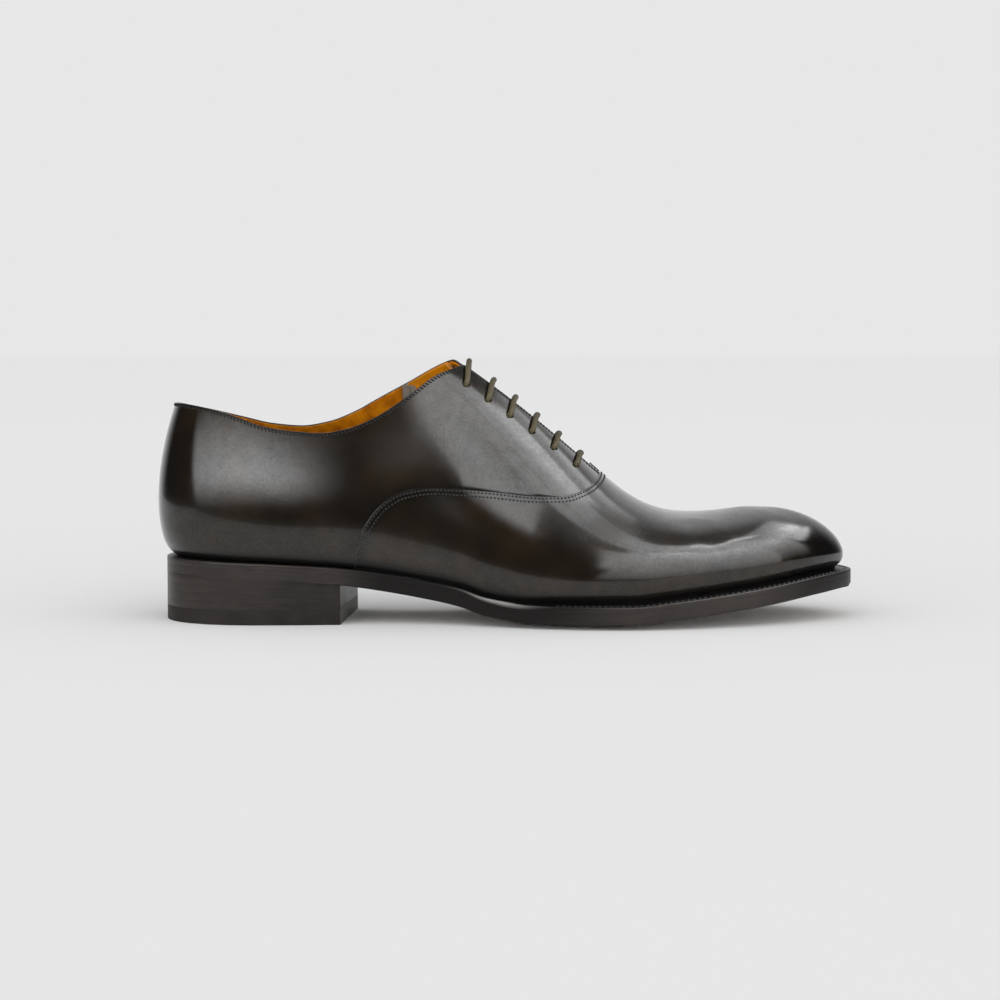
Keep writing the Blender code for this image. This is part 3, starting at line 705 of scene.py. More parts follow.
def make_piece(
    name: str, points: Floats, faces: Faces, values: Layers | None = None, sharp: float = SHARP
) -> Piece:
    """An object from corners and faces, with smooth shading up to an angle.

    Args:
        name: The piece's name.
        points: Its corners.
        faces: Their numbers, face by face.
        values: Named numbers at the corners, for the finishes.
        sharp: Angle in degrees above which an edge stays sharp.

    Returns:
        The new object.
    """
    mesh = bpy.data.meshes.new(name)
    mesh.from_pydata(points.tolist(), [], [list(f) for f in faces])
    for key, numbers in (values or {}).items():
        layer = mesh.attributes.new(key, "FLOAT", "POINT")
        layer.data.foreach_set("value", np.asarray(numbers, np.float32))
    bm = bmesh.new()
    bm.from_mesh(mesh)
    bmesh.ops.recalc_face_normals(bm, faces=bm.faces)
    bm.to_mesh(mesh)
    bm.free()
    mesh.shade_smooth()
    mesh.set_sharp_from_angle(angle=math.radians(sharp))
    obj = bpy.data.objects.new(name, mesh)
    bpy.context.scene.collection.objects.link(obj)
    return obj


def make_shell(
    name: str, grids: Sequence[Ints], outer: Floats, inner: Floats, values: Layers, wrap: bool = False
) -> Piece:
    """A closed sheet with thickness from grids over its two faces.

    Args:
        name: The piece's name.
        grids: Corner numbers by column and row; corners that coincide share a number.
        outer: The outer face's points, in the order of the numbers.
        inner: The inner face's points.
        values: Named numbers in that order, taken over by both faces.
        wrap: True where the last column meets the first.

    Returns:
        The new object. Its corners have "inside", 1 on the inner face.
    """
    outer, inner = outer.reshape(-1, 3), inner.reshape(-1, 3)
    used, skin = compact(outer, [face for ids in grids for face in grid_faces(ids, wrap)])
    count = len(used)
    sides = {(a, b) for face in skin for a, b in zip(face, face[1:] + face[:1])}
    rims = [(a, b) for a, b in sorted(sides) if (b, a) not in sides]
    faces = skin + [tuple(c + count for c in reversed(face)) for face in skin]
    faces += [(b, a, a + count, b + count) for a, b in rims]
    layers = {key: np.tile(numbers.reshape(-1)[used], 2) for key, numbers in values.items()}
    layers["inside"] = np.repeat([0.0, 1.0], count)
    return make_piece(name, np.concatenate([outer[used], inner[used]]), faces, layers)


def make_ring(
    name: str, rings: Floats, values: Layers | None = None, closed: bool = False, sharp: float = SHARP
) -> Piece:
    """A solid lofted through rings, closed in a loop or capped at both ends.

    Args:
        name: The piece's name.
        rings: Points by ring and place in the ring.
        values: Named numbers in the same order.
        closed: True where the last ring meets the first.
        sharp: Angle in degrees above which an edge stays sharp.

    Returns:
        The new object.
    """
    count, size = rings.shape[:2]
    ids = np.arange(count * size).reshape(count, size)
    faces = grid_faces(ids, closed, True)
    if not closed:
        faces += caps(ids)
    layers = {key: numbers.reshape(-1) for key, numbers in (values or {}).items()}
    return make_piece(name, rings.reshape(-1, 3), faces, layers, sharp)


def surface_of(obj: Piece) -> BVHTree:
    """A search tree over a piece's faces."""
    faces = [list(p.vertices) for p in obj.data.polygons]
    return BVHTree.FromPolygons([v.co.copy() for v in obj.data.vertices], faces)


def wear(obj: Piece, material: bpy.types.Material, slot: str, *nodes: str) -> None:
    """Dresses a piece and puts it in the place of its solids.

    Args:
        obj: The piece.
        material: Its material.
        slot: The record's material slot; not used.
        nodes: The solids that it stands for.
    """
    obj.data.materials.clear()
    obj.data.materials.append(material)
    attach(obj, "root")
    if nodes:
        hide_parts(*nodes)
    log.info("%s: %d faces", obj.name, len(obj.data.polygons))


class Value:
    """A number in a shader, with the arithmetic of numbers."""

    def __init__(self, graph: "Graph", socket: Socket) -> None:
        """Keeps the socket and the graph that it is in."""
        self.graph = graph
        self.socket = socket

    def _math(self, operation: str, *operands: "Value | float") -> "Value":
        """A Math node on these operands."""
        node = self.graph.node("ShaderNodeMath", {"operation": operation}, dict(enumerate(operands)))
        return Value(self.graph, node.outputs[0])

    def __add__(self, other: "Value | float") -> "Value":
        """Sum."""
        return self._math("ADD", self, other)

    __radd__ = __add__

    def __sub__(self, other: "Value | float") -> "Value":
        """Difference."""
        return self._math("SUBTRACT", self, other)

    def __rsub__(self, other: float) -> "Value":
        """Difference from a number."""
        return self._math("SUBTRACT", other, self)

    def __mul__(self, other: "Value | float") -> "Value":
        """Product."""
        return self._math("MULTIPLY", self, other)

    __rmul__ = __mul__

    def __pow__(self, other: float) -> "Value":
        """Power."""
        return self._math("POWER", self, other)

    def sine(self) -> "Value":
        """Sine of the angle in radians."""
        return self._math("SINE", self)

    def size(self) -> "Value":
        """Absolute value."""
        return self._math("ABSOLUTE", self)

    def most(self, other: "Value | float") -> "Value":
        """The greater of two."""
        return self._math("MAXIMUM", self, other)

    def ramp(self, low: float, high: float, start: float = 0.0, end: float = 1.0) -> "Value":
        """A soft step from start at low to end at high."""
        node = self.graph.node(
            "ShaderNodeMapRange",
            {"interpolation_type": "SMOOTHSTEP"},
            {"Value": self, "From Min": low, "From Max": high, "To Min": start, "To Max": end},
        )
        return Value(self.graph, node.outputs["Result"])


class Graph:
    """The nodes of a material or a world, made one at a time."""

    def __init__(self, name: str, world: bool = False) -> None:
        """Starts a material or a world with only its shader and output."""
        self.material = (bpy.data.worlds if world else bpy.data.materials).new(name)
        self.material.use_nodes = True
        self.tree = self.material.node_tree
        self.shader = self.tree.nodes["Background" if world else "Principled BSDF"]

    def node(self, kind: str, settings: dict[str, Any], inputs: dict[str | int, Any]) -> bpy.types.Node:
        """A node with its settings and inputs.

        Args:
            kind: The node's type.
            settings: Its own properties, set first.
            inputs: Values, wrapped values or sockets for its inputs, by name or number.

        Returns:
            The node.
        """
        node = self.tree.nodes.new(kind)
        for key, setting in settings.items():
            setattr(node, key, setting)
        for key, given in inputs.items():
            self.feed(node.inputs[key], given)
        return node

    def feed(self, socket: Socket, given: Any) -> None:
        """Links or sets one input."""
        source = given.socket if isinstance(given, Value) else given
        if isinstance(source, Socket):
            self.tree.links.new(source, socket)
        else:
            socket.default_value = source

    def place(self, stretch: Colour = (1.0, 1.0, 1.0)) -> Socket:
        """The surface's own place in metres, stretched along each axis."""
        coordinates = self.node("ShaderNodeTexCoord", {}, {})
        scaled = self.node(
            "ShaderNodeVectorMath", {"operation": "MULTIPLY"}, {0: coordinates.outputs["Object"], 1: stretch}
        )
        return scaled.outputs["Vector"]

    def noise(self, place: Socket, scale: float, detail: float = 2.0, rough: float = 0.5) -> Value:
        """Cloudy noise from 0 to 1, with scale cells to the metre."""
        inputs = {"Vector": place, "Scale": scale, "Detail": detail, "Roughness": rough}
        return Value(self, self.node("ShaderNodeTexNoise", {}, inputs).outputs["Fac"])

    def cells(self, place: Socket, scale: float) -> Value:
        """Distance to the nearest of scattered points."""
        node = self.node("ShaderNodeTexVoronoi", {"feature": "F1"}, {"Vector": place, "Scale": scale})
        return Value(self, node.outputs["Distance"])

    def layer(self, name: str) -> Value:
        """A number that the piece's corners carry."""
        node = self.node("ShaderNodeAttribute", {"attribute_name": name}, {})
        return Value(self, node.outputs["Fac"])

    def axis(self, place: Socket, letter: str) -> Value:
        """One coordinate of a place."""
        return Value(self, self.node("ShaderNodeSeparateXYZ", {}, {"Vector": place}).outputs[letter])

    def blend(self, share: Value, first: Any, second: Any) -> Socket:
        """Mixes two colours.

        Args:
            share: How much of the second shows.
            first: A colour or a colour socket.
            second: A colour or a colour socket.

        Returns:
            The mixed colour's socket.
        """
        node = self.node("ShaderNodeMix", {"data_type": "RGBA"}, {"Factor": share})
        for name, given in (("A", first), ("B", second)):
            socket = next(s for s in node.inputs if s.name == name and s.type == "RGBA")
            self.feed(socket, (*given, 1.0) if isinstance(given, tuple) else given)
        return next(s for s in node.outputs if s.type == "RGBA")

    def relief(self, height: Value, depth: float, strength: float = 1.0) -> None:
        """Roughs the surface up by a height from 0 to 1, depth metres deep."""
        inputs = {"Strength": strength, "Distance": depth, "Height": height}
        self.feed(self.shader.inputs["Normal"], self.node("ShaderNodeBump", {}, inputs).outputs["Normal"])

    def finish(self, **sockets: Any) -> bpy.types.Material:
        """Feeds the shader's sockets, named with underscores for blanks, and gives the material."""
        for name, given in sockets.items():
            self.feed(self.shader.inputs[name.replace("_", " ")], given)
        return self.material


def dark(colour: Colour, share: float) -> Colour:
    """A colour at a share of its brightness."""
    return (colour[0] * share, colour[1] * share, colour[2] * share)


@dataclass(frozen=True)
class Finish:
    """Colours and gloss of a surface, and the nodes that make them."""

    def dress(self, g: Graph) -> None:
        """Lays out the nodes in the graph of a new material."""
        raise NotImplementedError

    def material(self, name: str) -> bpy.types.Material:
        """The finish as a new material."""
        g = Graph(name)
        self.dress(g)
        return g.material


@dataclass(frozen=True)
class CalfFinish(Finish):
    """Polished dark calf, burnished towards the ends and edges, with painted shade over the welt and at the
    heel's back, and lighter cut edges that are partly a painted highlight.
    """

    deep: Colour = (0.0054, 0.0037, 0.0022)
    brown: Colour = (0.0135, 0.0083, 0.0038)
    patina_and_shade_colour: Colour = (0.0026, 0.0023, 0.0023)
    cut: Colour = (0.032, 0.029, 0.027)
    gloss: float = 0.15
    coat: float = 0.60
    coat_gloss: float = 0.08

    def dress(self, g: Graph) -> None:
        """Lays out the nodes.

        Args:
            g: The graph of a new material.
        """
        place = g.place()
        clouds = g.noise(place, 38.0, 3.0, 0.55)
        speckle = g.noise(place, 900.0, 3.0, 0.65)
        patina = (clouds * 0.85 + speckle * 0.25).ramp(0.38, 0.78)
        patina_and_shade = g.layer("patina_and_shade")
        colour = g.blend(patina, self.deep, self.brown)
        # Darker towards the darkest colour by the layer: burnished patina towards the ends and edges, plus
        # painted shade over the welt and at the heel's back.
        colour = g.blend(patina_and_shade.ramp(0.0, 1.0, 0.0, 0.95), colour, self.patina_and_shade_colour)
        # Lighter at the raw cut edges: the edge's own colour, partly a painted highlight where the edge
        # catches the light.
        colour = g.blend(g.layer("cut"), colour, self.cut)
        grain = g.noise(place, 1500.0, 2.0, 0.6)
        pores = g.cells(place, 2600.0)
        folds = g.noise(place, 260.0) * 0.015 + g.noise(place, 75.0, 1.0) * 0.045
        g.relief(grain * 0.018 + pores * 0.012 + folds, 1.0 * MM)
        dull = g.layer("dull")
        haze = g.noise(place, 140.0, 4.0, 0.7)
        rough = self.gloss + (clouds - 0.5) * 0.08 + (speckle - 0.5) * 0.16 + (haze - 0.5) * 0.2 + dull * 0.3
        coat = self.coat + (speckle - 0.5) * 0.9 + (grain - 0.5) * 0.5 + (haze - 0.5) * 0.8
        g.finish(
            Base_Color=colour,
            Roughness=rough,
            Coat_Weight=coat * (1 - dull),
            Coat_Roughness=self.coat_gloss,
            Specular_IOR_Level=0.30,
        )


@dataclass(frozen=True)
class LiningFinish(Finish):
    """Matt, mottled lining leather, with painted shade at its lower border and on the walls of the lace
    holes.
    """

    light: Colour = (0.41, 0.140, 0.0)
    deep: Colour = (0.235, 0.065, 0.0)
    shade_paint: Colour = (0.010, 0.007, 0.005)
    gloss: float = 0.52

    def dress(self, g: Graph) -> None:
        """Lays out the nodes.

        Args:
            g: The graph of a new material.
        """
        place = g.place()
        mottle = g.noise(place, 150.0, 4.0, 0.65)
        pores = g.cells(place, 1900.0)
        colour = g.blend(mottle.ramp(0.35, 0.7), self.deep, self.light)
        colour = g.blend(pores.ramp(0.0, 0.35, 0.25, 0.0), colour, dark(self.deep, 0.45))
        # Near-black painted shade where the layer marks it: the lower border and the hole walls.
        colour = g.blend(g.layer("shade_painted"), colour, self.shade_paint)
        height = pores * 0.6 + g.noise(place, 900.0, 3.0) * 0.6
        g.relief(height, 0.06 * MM, 0.7)
        rough = self.gloss + (mottle - 0.5) * 0.2
        g.finish(Base_Color=colour, Roughness=rough, Specular_IOR_Level=0.05)


@dataclass(frozen=True)
class EdgeFinish(Finish):
    """Waxed and burnished edges of sole leather, with the fibre's streaks along them, painted shade at the
    waist, the toe and towards the heel's breast, and a painted glint on the welt's top edge.
    """

    deep: Colour = (0.0155, 0.0117, 0.0098)
    light: Colour = (0.0265, 0.0207, 0.0178)
    under: Colour = (0.20, 0.150, 0.100)
    glint: Colour = (0.33, 0.32, 0.31)
    gloss: float = 0.40

    def dress(self, g: Graph) -> None:
        """Lays out the nodes.

        Args:
            g: The graph of a new material.
        """
        place = g.place()
        fibre = g.noise(g.place((0.10, 0.10, 1.0)), 1300.0, 3.0, 0.6)
        clouds = g.noise(place, 60.0, 2.0)
        colour = g.blend((fibre * 0.6 + clouds * 0.5).ramp(0.35, 0.8), self.deep, self.light)
        shade = g.layer("shade")
        colour = g.blend(shade, colour, dark(self.deep, 0.2))
        below = g.layer("under")
        scuffs = g.noise(place, 170.0, 4.0, 0.7)
        worn = g.blend(scuffs.ramp(0.3, 0.75), dark(self.under, 0.62), self.under)
        colour = g.blend(below, colour, worn)
        # Painted glint: a light grey on the welt's top edge, glossier there too.
        painted_glint = g.layer("painted_glint")
        colour = g.blend(painted_glint, colour, self.glint)
        g.relief(fibre * 0.8 + g.noise(place, 700.0) * 0.4, 0.03 * MM, 0.5)
        rough = self.gloss + (clouds - 0.5) * 0.16 + below * 0.2 - painted_glint * 0.2
        coat = (0.22 - below * 0.15) * (1 - shade)
        g.finish(
            Base_Color=colour, Roughness=rough, Coat_Weight=coat, Coat_Roughness=0.3, Specular_IOR_Level=0.22
        )


@dataclass(frozen=True)
class RubberFinish(Finish):
    """Matt rubber with a faint tooth, and a painted reflection on the top piece's breast face."""

    deep: Colour = (0.0130, 0.0101, 0.0087)
    light: Colour = (0.0195, 0.0155, 0.0135)
    painted_breast_reflection: Colour = (0.070, 0.074, 0.062)
    gloss: float = 0.55

    def dress(self, g: Graph) -> None:
        """Lays out the nodes.

        Args:
            g: The graph of a new material.
        """
        place = g.place()
        clouds = g.noise(place, 90.0, 3.0)
        tooth = g.noise(place, 1800.0, 2.0)
        g.relief(tooth, 0.05 * MM, 0.5)
        colour = g.blend(clouds.ramp(0.35, 0.7), self.deep, self.light)
        # Painted reflection: the breast face lighter and greenish grey, as if it mirrored the floor.
        colour = g.blend(g.layer("breast"), colour, self.painted_breast_reflection)
        g.finish(Base_Color=colour, Roughness=self.gloss + (tooth - 0.5) * 0.15, Specular_IOR_Level=0.24)


@dataclass(frozen=True)
class CordFinish(Finish):
    """Braided waxed cotton."""

    deep: Colour = (0.020, 0.015, 0.007)
    light: Colour = (0.098, 0.080, 0.043)
    strands: float = 6.0
    pitch: float = 1.55 * MM
    gloss: float = 0.62

    def dress(self, g: Graph) -> None:
        """Lays out the nodes.

        Args:
            g: The graph of a new material.
        """
        turns = g.node("ShaderNodeUVMap", {"uv_map": "braid"}, {}).outputs["UV"]
        round_, along = g.axis(turns, "X"), g.axis(turns, "Y")
        lap = 2 * math.pi
        one = (round_ * (self.strands / 2 * lap) + along * (lap / self.pitch)).sine()
        two = (round_ * (self.strands / 2 * lap) - along * (lap / self.pitch)).sine()
        weave = one.size().most(two.size())
        fuzz = g.noise(g.place(), 2400.0, 3.0, 0.6)
        shade = (weave * 0.8 + fuzz * 0.4).ramp(0.55, 1.1)
        g.relief(weave * 0.8 + fuzz * 0.3, 0.12 * MM, 0.9)
        colour = g.blend(shade, self.deep, self.light)
        g.finish(Base_Color=colour, Roughness=self.gloss + (fuzz - 0.5) * 0.2, Specular_IOR_Level=0.2)


@dataclass(frozen=True)
class ThreadFinish(Finish):
    """Waxed sewing thread."""

    deep: Colour = (0.0050, 0.0050, 0.0053)
    light: Colour = (0.0300, 0.0300, 0.0315)
    gloss: float = 0.38

    def dress(self, g: Graph) -> None:
        """Lays out the nodes.

        Args:
            g: The graph of a new material.
        """
        twist = g.noise(g.place(), 3200.0, 2.0)
        g.relief(twist, 0.03 * MM, 0.6)
        colour = g.blend(twist.ramp(0.35, 0.7), self.deep, self.light)
        g.finish(Base_Color=colour, Roughness=self.gloss + (twist - 0.5) * 0.2, Specular_IOR_Level=0.3)


class Seam:
    """The vamp's edge over the quarters, as a curve on the last."""

    FINE = 0.05 * MM

    def __init__(self, last: Last) -> None:
        """Finds where the edge leaves the welt and where it meets the crown.

        Args:
            last: The shape under the upper.
        """
        self.last = last
        x = HEEL_X + np.linspace(VAMP_SEAM[0].along, VAMP_SEAM[1].along, TABLE_SAMPLES) * LAST_LENGTH
        over = smooth_table(VAMP_SEAM, "height", x) * INSTEP - feather_z(x)
        self.start = float(last.station_at(np.interp(0.0, over, x), Side.LATERAL, Rail.X))
        shares = last.seam_share(last.sampled)
        open_ = (shares < 1.0) & (last.sampled > self.start)
        self.end = float(last.sampled[np.nonzero(open_)[0][-1]])
        self.places = {side: self._places(side) for side in Side}
        self.tree = KDTree(sum(len(t) for t, _ in self.places.values()))
        number = 0
        for t, v in self.places.values():
            for point in last.point(t, v):
                self.tree.insert(point, number)
                number += 1
        self.tree.balance()

    def _places(self, side: Side) -> tuple[Floats, Floats]:
        """Stations and shares along the edge, evenly spaced.

        Args:
            side: The side of the shoe.

        Returns:
            Stations and shares, from the welt to the crown.
        """
        t = np.linspace(self.start, self.end, TABLE_SAMPLES) * -side
        v = self.last.seam_share(t)
        v[-1] = 1.0
        _, index = resampled(self.last.point(t, v), self.FINE)
        order = np.arange(len(t))
        return np.interp(index, order, t), np.interp(index, order, v)

    def distance(self, points: Floats) -> Floats:
        """Distance of points from the edge."""
        flat = [self.tree.find(p)[2] for p in points.reshape(-1, 3)]
        return np.array(flat).reshape(points.shape[:-1])


class Crease(NamedTuple):
    """A soft trough between two places of the vamp: x, share of the climb, width and depth."""

    side: Side
    x_low: float
    climb_low: float
    x_high: float
    climb_high: float
    width: float
    depth: float


CREASES = (
    Crease(Side.LATERAL, 86.5 * MM, 0.40, 82.5 * MM, 0.62, 5.0 * MM, 0.20 * MM),
    Crease(Side.LATERAL, 62.0 * MM, 0.46, 55.0 * MM, 0.72, 9.0 * MM, 0.08 * MM),
    Crease(Side.LATERAL, 31.0 * MM, 0.34, 25.0 * MM, 0.56, 10.0 * MM, 0.10 * MM),
    Crease(Side.MEDIAL, 80.0 * MM, 0.42, 76.0 * MM, 0.66, 7.0 * MM, 0.16 * MM),
    Crease(Side.MEDIAL, 55.0 * MM, 0.40, 50.0 * MM, 0.68, 9.0 * MM, 0.10 * MM),
)


@dataclass
class Vamp:
    """The vamp: one sheet over toe and forefoot, lapped over the quarters."""

    last: Last
    seam: Seam
    near: tuple[float, ...] = tuple(
        MM * d
        for d in (0, 0.1, 0.22, 0.36, 0.55, 0.8, 1.0, 1.2, 1.5, 1.9, 2.4, 2.8, 3.0, 3.2, 3.7, 4.5, 6.0, 8.0)
    )
    rest: int = 36
    apart: float = 1.1 * MM
    apart_fine: float = 0.4 * MM
    lip: float = 0.25 * MM
    lap: float = 5.0 * MM
    hollow: float = 2.4 * MM
    hollow_tall: float = 9.0 * MM
    tuck_in: float = 1.6 * MM
    tuck_down: float = 0.9 * MM
    dip: float = 0.15 * MM
    thick: float = 0.95 * MM
    thick_run: float = 2.0 * MM
    thin: float = 0.1 * MM

    def stations(self) -> Floats:
        """Stations of one side, closer at the back corner and round the vamp point."""

        def spacing(t: Floats) -> Floats:
            """Wanted distance between stations."""
            crown = self.last.rail(t, Rail.CROWN_X)
            corner = smooth_step(t - self.seam.start, 14 * MM, 24 * MM)
            point = 1 - smooth_step(crown, 24 * MM, 30 * MM) * (1 - smooth_step(crown, 46 * MM, 52 * MM))
            return self.apart_fine + (self.apart - self.apart_fine) * corner * point

        return spaced(self.seam.start, self.last.toe, spacing)

    def creases(self, points: Floats) -> Floats:
        """Depth of the creases at points of the last's skin."""
        total = np.zeros(points.shape[:-1])
        for c in CREASES:
            ends = [
                self.last.point(self.last.station_at(x, c.side, Rail.X), climb)
                for x, climb in ((c.x_low, c.climb_low), (c.x_high, c.climb_high))
            ]
            way = ends[1] - ends[0]
            share = np.clip(((points - ends[0]) @ way) / (way @ way), 0.0, 1.0)
            away = np.linalg.norm(points - (ends[0] + share[..., None] * way), axis=-1)
            total += c.depth * (bump(away, 0.0, c.width) - 0.45 * bump(away, 2.0 * c.width, 0.8 * c.width))
        return total

    def build(self, finish: CalfFinish) -> Piece:
        """Makes the sheet.

        Args:
            finish: The leather.

        Returns:
            The piece.
        """
        half = self.stations()
        t = np.concatenate([half, 2 * self.last.toe - half[-2::-1]])
        top = self.last.seam_share(t)
        v, _ = self.last.rows_down(t, top, np.zeros_like(t), self.near, self.rest)
        base, normal = self.last.skin(t, v)
        away = self.seam.distance(base)
        height = VAMP_STEP * np.sqrt(1 - (1 - np.minimum(away / self.lip, 1.0)) ** 2)
        height -= self.creases(base) + undercut(base, self.hollow, self.hollow_tall)
        outer = base + normal * height[..., None]
        outer[..., 2] = np.maximum(outer[..., 2], feather_z(outer[..., 0]) - self.dip)
        under = -self.thick * smooth_step(away, self.lap, self.lap + self.thick_run)
        under = np.minimum(under, height - self.thin)
        inner = base + normal * under[..., None]
        inward = self.last.inward(t)
        foot = self.last.point(t, np.zeros_like(t)) - [0, 0, self.tuck_down]
        outer = with_row(outer, foot + inward * self.tuck_in)
        inner = with_row(inner, foot + inward * (self.tuck_in + 2 * self.thin))
        away = with_row(away, away[:, -1])
        ids = np.arange(away.size).reshape(away.shape)
        ids[0], ids[-1] = ids[0, 0], ids[-1, 0]
        whole = np.nonzero(top[: len(half)] >= 1.0)[0]
        ids[len(t) - 1 - whole, 0] = ids[whole, 0]
        x = outer[..., 0]
        # Burnished patina towards the toe and beside the vamp's edge; the painted shade over the welt joins
        # it in the same layer below.
        patina_and_shade = 0.9 * smooth_step(x, 118 * MM, 150 * MM) + 0.55 * bump(away, 2.0 * MM, 3.0 * MM)
        # Painted shade over the welt: this share darkens the colour together with the patina, and dulls the
        # gloss.
        low = shaded_dull_border(outer, 7 * MM)
        # The cut edge's lighter colour is partly a painted highlight.
        values = {"patina_and_shade": np.clip(patina_and_shade + low, 0, 1), "cut": bump(away, 0.06 * MM, 0.16 * MM)}
        flexed = 0.7 * bump(x, 46 * MM, 18 * MM) * bump(outer[..., 2], 43.5 * MM, 8 * MM)
        values["dull"] = np.clip(low + flexed, 0, 1)
        piece = make_shell("vamp", [ids], outer, inner, values)
        wear(piece, finish.material("vamp_calf"), "upper_leather", "upper")
        return piece


@dataclass
class Quarters:
    """Both quarters in one sheet round the heel, with the facings and their lace holes."""

    last: Last
    seam: Seam
    near: tuple[float, ...] = tuple(
        MM * d for d in (0, 0.06, 0.15, 0.28, 0.45, 0.7, 1.0, 1.25, 1.5, 1.9, 2.5, 3.3, 4.4, 6.0, 8.0)
    )
    rest: int = 40
    apart: float = 1.25 * MM
    apart_fine: float = 0.4 * MM
    thick: float = 1.0 * MM
    lap: float = 5.0 * MM
    run_under: float = 4.0 * MM
    stitch_row: float = 1.25 * MM
    facing_row: float = 2.0 * MM
    hollow: float = 1.6 * MM
    hollow_tall: float = 7.5 * MM
    back_seam: float = 0.22 * MM
    back_seam_wide: float = 0.4 * MM
    sunk: float = 0.5 * MM
    sunk_from: float = 0.15 * MM
    sunk_to: float = 1.2 * MM
    thin: float = 0.02 * MM
    end_drop: float = 0.3 * MM
    tuck_in: float = 1.6 * MM
    tuck_down: float = 0.9 * MM

    def stations(self) -> Floats:
        """Signed stations from the medial facing round the heel to the lateral one."""
        end = float(self.last.station_at(VAMP_POINT + self.run_under, Side.LATERAL))

        def spacing(t: Floats) -> Floats:
            """Wanted distance between stations."""
            crown = self.last.rail(t, Rail.CROWN_X)
            far = [
                smooth_step(np.abs(t), 1.2 * MM, 4 * MM),
                smooth_step(np.abs(t - self.seam.start), 9 * MM, 15 * MM),
                smooth_step(np.abs(crown - FACING_TOP), 7 * MM, 12 * MM),
                smooth_step(np.abs(crown - VAMP_POINT), 7 * MM, 12 * MM),
            ]
            return self.apart_fine + (self.apart - self.apart_fine) * np.prod(far, axis=0)

        one = spaced(0.0, end, spacing)
        return np.concatenate([-one[:0:-1], one])

    def edge(self, t: Floats) -> Floats:
        """Shares of the sheet's upper edge."""
        return self.last.edge_share(t, VAMP_POINT + 2 * self.run_under)

    def build(self, finish: CalfFinish) -> Piece:
        """Makes the sheet, without its holes.

        Args:
            finish: The leather.

        Returns:
            The piece.
        """
        last = self.last
        t = self.stations()
        top, seam = self.edge(t), last.seam_share(t)
        shares, lengths = last.lengths(t, seam, np.zeros_like(t))
        low = interp_rows(np.full_like(t, self.lap), lengths, shares)
        low = np.where(np.abs(t) < self.seam.start, 0.0, np.minimum(low, top - 0.01))
        v, down = last.rows_down(t, top, low, self.near, self.rest)
        base, normal = last.skin(t, v)
        away = self.seam.distance(base)
        lapped = (v < seam[:, None]) & (np.abs(t) > self.seam.start)[:, None]
        radius = self.thick / 2
        turn = rounding(down, radius)
        sunk = self.sunk * smooth_step(away, self.sunk_from, self.sunk_to)
        height = -turn - np.where(lapped, sunk, 0.0)
        height -= self.back_seam * bump(t, 0.0, self.back_seam_wide)[:, None]
        height -= np.where(lapped, 0.0, undercut(base, self.hollow, self.hollow_tall))
        outer = base + normal * height[..., None]
        inner = base + normal * (np.minimum(turn - self.thick, height - self.thin))[..., None]
        inward = last.inward(t) * self.tuck_in
        inward[:, 2] = -self.tuck_down
        tuck = np.where((low == 0.0)[:, None], inward, normal[:, -1] * -self.end_drop)
        outer = with_row(outer, outer[:, -1] + tuck)
        inner = with_row(inner, inner[:, -1] + tuck)
        ids = np.arange(outer.shape[0] * outer.shape[1]).reshape(outer.shape[:2])
        down, away = with_row(down, down[:, -1]), with_row(away, away[:, -1])
        # Painted shade over the welt: this share darkens the colour together with the patina, and dulls the
        # gloss.
        dull = shaded_dull_border(outer, 6 * MM)
        # Darker at the heel's back: partly burnished patina, partly painted shade where the curved back turns
        # away from the light.
        patina_and_shade = 0.75 * (1 - smooth_step(outer[..., 0], -152 * MM, -134 * MM))
        patina_and_shade += 0.5 * bump(away, 0.0, 4 * MM) + 0.25 * bump(down, 0.0, 4 * MM) + dull
        # The top line's lighter cut edge is partly a painted highlight.
        values = {"patina_and_shade": np.clip(patina_and_shade, 0, 1), "cut": 0.35 * bump(down, 0.0, 0.3 * MM), "dull": dull}
        piece = make_shell("quarters", [ids], outer, inner, values)
        wear(piece, finish.material("quarter_calf"), "upper_leather", "upper")
        return piece


